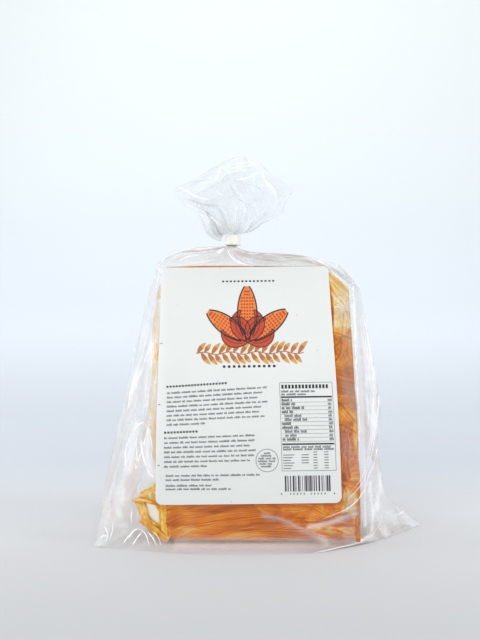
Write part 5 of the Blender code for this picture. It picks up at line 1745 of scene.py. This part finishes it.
def strip(spine, widths, scale=1.0, grow=0.0):
    """Small quads along a curved spine, as wide at each point as given plus a border."""
    spine = np.array(spine, float)
    ahead = np.gradient(spine, axis=0)
    normal = np.stack([-ahead[:, 1], ahead[:, 0]], axis=1)
    normal /= np.linalg.norm(normal, axis=1, keepdims=True)
    half = (np.array(widths, float)[:, None] * scale / 2 + grow)
    left_side, right_side = spine + normal * half, spine - normal * half
    return [
        [tuple(left_side[i]), tuple(right_side[i]), tuple(right_side[i + 1]), tuple(left_side[i + 1])]
        for i in range(len(spine) - 1)
    ]


print_shape("print_ring", grey_ink, ring_outline(62.0 * MM, 23.7 * MM, 6.05 * MM, 6.32 * MM))

# The design: three ears of corn fanned out from one foot, in orange with red husks, outlined.
FAN_FOOT = (0.0525, 0.0895)
ears, husks, veins, outlines, kernels = [], [], [], [], []


def edges_of(spine, widths, thick):
    """The two outlines of a strip, as thin strips of their own."""
    spine = np.array(spine, float)
    ahead = np.gradient(spine, axis=0)
    normal = np.stack([-ahead[:, 1], ahead[:, 0]], axis=1)
    normal /= np.linalg.norm(normal, axis=1, keepdims=True)
    half = np.array(widths, float)[:, None] / 2
    return strip(spine + normal * half, 0 * half[:, 0] + thick) + strip(spine - normal * half, 0 * half[:, 0] + thick)


t_ear = np.linspace(0, 1, 41)
for angle, long, wide in ((-54, 0.0262, 0.0104), (54, 0.0262, 0.0104), (0, 0.0290, 0.0116)):
    way = np.array([math.sin(math.radians(angle)), math.cos(math.radians(angle))])
    side_way = np.array([way[1], -way[0]])
    spine = np.array(FAN_FOOT) + way * (0.0030 + long * t_ear[:, None])
    widths = wide * np.sin(np.pi * (0.10 + 0.87 * t_ear)) ** 0.62
    ears += strip(spine, widths)
    outlines += edges_of(spine, widths, 0.00075)
    for row in range(int(long / 0.00195) - 2):
        at = 0.17 + 0.78 * row / (long / 0.00195 - 3)
        across = float(np.interp(at, t_ear, widths)) / 2 - 0.0008
        for lane in range(-2, 3):
            if abs(lane) * 0.00165 < across:
                offset = lane * 0.00165 * min(1.0, across / 0.0035)
                spot = np.array(FAN_FOOT) + way * (0.0030 + long * at) + side_way * offset
                kernels.append((spot[0], spot[1], 0.00066))
    for hand in (-1, 1):
        t_husk = np.linspace(0, 1, 31)
        curve = 0.62 * wide * np.sin(np.pi * 0.86 * t_husk) ** 0.7 * hand
        leaf_spine = np.array(FAN_FOOT) + way * (0.62 * long * t_husk[:, None]) + side_way * curve[:, None]
        leaf_width = 0.52 * wide * np.sin(np.pi * (0.06 + 0.93 * t_husk)) ** 0.8
        husks += strip(leaf_spine, leaf_width)
        outlines += edges_of(leaf_spine, leaf_width, 0.00050)
        veins += strip(leaf_spine[3:-4], 0 * t_husk[3:-4] + 0.0003)
print_shape("print_ears", orange_ink, ears, INK_HEIGHT)
print_shape("print_husks", red_ink, husks, INK_HEIGHT * 1.6)
print_shape("print_veins", black_ink, veins, INK_HEIGHT * 2.0)
print_shape("print_outlines", black_ink, outlines, INK_HEIGHT * 2.2)
print_dots("print_kernels", red_ink, kernels)

# The band: a waving brown stem with slim leaves to either side, each paler towards its tip.
GARLAND = (0.0222, 0.0850, 0.0826)
leaves, leaf_tips, stems = [], [], []
stem_x = np.linspace(GARLAND[0], GARLAND[1], 180)
stem_z = GARLAND[2] + 0.0007 * np.sin((stem_x - GARLAND[0]) * 2 * math.pi / 0.0157) + 0.0100 * (stem_x - 0.0536) * 0.06
stems += strip(np.column_stack([stem_x, stem_z]), 0 * stem_x + 0.00055)
for k in range(29):
    foot_x = GARLAND[0] + 0.0008 + k * (GARLAND[1] - GARLAND[0] - 0.004) / 28
    foot_z = float(np.interp(foot_x, stem_x, stem_z))
    upward = 1 if k % 2 == 0 else -1
    long = 0.0076 + 0.0016 * math.sin(k * 2.3)
    t_leaf = np.linspace(0, 1, 15)
    bow = np.radians(62 - 24 * t_leaf) * upward
    steps = np.column_stack([np.cos(bow), np.sin(bow)]) * long / 14
    leaf_spine = np.array([foot_x, foot_z]) + np.vstack([[0, 0], np.cumsum(steps, axis=0)[:-1]])
    widths = 0.0027 * np.sin(np.pi * (0.05 + 0.92 * t_leaf)) ** 0.9
    leaves += strip(leaf_spine[:9], widths[:9])
    leaf_tips += strip(leaf_spine[8:], widths[8:])
print_shape("print_band_leaves", brown_ink, leaves)
print_shape("print_band_tips", gold_ink, leaf_tips)
print_shape("print_band_stem", brown_ink, stems)


# ---------------------------------------------------------------------------------------------
# The tie: a short strip of cream plastic tape wrapped round the twisted neck, its two ends pressed
# together in a small tab at one side.
# ---------------------------------------------------------------------------------------------
TIE_GAP = 0.0004
TIE_THICKNESS = 0.0007
TIE_FOOT_Z = 0.1698
TIE_HEIGHT = 0.0062
TIE_TAB_REACH = 0.0054
TIE_TAB_THICKNESS = 0.0022
TIE_STEPS = 240
TIE_ROWS = 15

inner_radius = NECK_RADIUS + TIE_GAP
outer_radius = inner_radius + TIE_THICKNESS
turn = 2 * math.pi * (np.arange(TIE_STEPS) + 0.5) / TIE_STEPS
reach = np.full(TIE_STEPS, outer_radius)
tab = TIE_TAB_THICKNESS / 2 / np.maximum(np.abs(np.sin(turn)), 1e-6)
reach = np.where(np.cos(turn) > 0, np.maximum(reach, np.minimum(TIE_TAB_REACH, tab)), reach)
share = np.linspace(0, 1, TIE_ROWS)[:, None]
edge = np.clip(np.minimum(share, 1 - share) / 0.08, 0, 1)
z = TIE_FOOT_Z + TIE_HEIGHT * share + 0.00022 * hills(turn * 2.2, share * 0 + 3, 91) * (2 * share - 1)
out = reach - 0.00022 * (1 - np.sqrt(np.clip(1 - (1 - edge) ** 2, 0, 1)))
out = out + 0.00016 * hills(turn * 4.5, share * 5, 92) * edge
outer = np.stack([NECK_X + out * np.cos(turn), NECK_Y + out * np.sin(turn), z + 0 * out], axis=-1)
inner_out = np.full_like(out, inner_radius)
inner = np.stack([NECK_X + inner_out * np.cos(turn), NECK_Y + inner_out * np.sin(turn), z + 0 * out], axis=-1)
grid = np.concatenate([outer, inner[::-1], outer[:1]])
points = grid[:-1].reshape(-1, 3) + STACK_SHIFT
ring_faces = grid_faces(len(grid), TIE_STEPS) % len(points)
tie = new_mesh_piece("tie_tape", points, [tuple(f) for f in ring_faces])
tape, shader, add, join = new_material("tie_tape")
place = add("ShaderNodeTexCoord")
stretch = add("ShaderNodeMapping")
stretch.inputs["Scale"].default_value = (900, 900, 160)
join(place.outputs["Object"], stretch.inputs["Vector"])
drawn = add("ShaderNodeTexNoise", Scale=1.0, Detail=3.0)
join(stretch.outputs["Vector"], drawn.inputs["Vector"])
cream = add("ShaderNodeMix", data_type="RGBA")
cream.inputs["A"].default_value = (0.80, 0.80, 0.73, 1)
cream.inputs["B"].default_value = (0.93, 0.93, 0.87, 1)
join(drawn.outputs["Fac"], cream.inputs["Factor"])
join(cream.outputs["Result"], shader.inputs["Base Color"])
sheen = add("ShaderNodeMapRange")
sheen.inputs["To Min"].default_value = 0.22
sheen.inputs["To Max"].default_value = 0.45
join(drawn.outputs["Fac"], sheen.inputs["Value"])
join(sheen.outputs["Result"], shader.inputs["Roughness"])
bump = add("ShaderNodeBump", Strength=0.4, Distance=0.00012)
join(drawn.outputs["Fac"], bump.inputs["Height"])
join(bump.outputs["Normal"], shader.inputs["Normal"])
tie.data.materials.append(tape)
keep(tie, "tape", "tie")



# The gathered film that fills the tape: packed pleats round the neck's middle, seen only from above.
CORE_PLEATS = 9
CORE_RISE = 0.0052
CORE_REACH = NECK_RADIUS - 0.0002
CORE_EYE = 0.00005
from_middle = np.linspace(0, 1, 9)[:, None]
out = CORE_EYE + (CORE_REACH - CORE_EYE) * from_middle + 0 * turn
pleats = 0.00045 * np.cos(CORE_PLEATS * turn + 5.0 * from_middle) * from_middle
foot_z, top_z = TIE_FOOT_Z + 0.001 + 0 * out, TIE_FOOT_Z + CORE_RISE + pleats
foot, top = (
    np.stack([NECK_X + out * np.cos(turn), NECK_Y + out * np.sin(turn), z], axis=-1) for z in (foot_z, top_z)
)
grid = np.concatenate([foot, top[::-1], foot[:1]])
points = grid[:-1].reshape(-1, 3) + STACK_SHIFT
core_faces = grid_faces(len(grid), TIE_STEPS) % len(points)
core = new_mesh_piece("film_neck_gather", points, [tuple(f) for f in core_faces])
gathered, shader, add, join = new_material("gathered_film")
shader.inputs["Base Color"].default_value = (0.84, 0.86, 0.88, 1)
shader.inputs["Roughness"].default_value = 0.30
core.data.materials.append(gathered)
keep(core, "film", "bag")
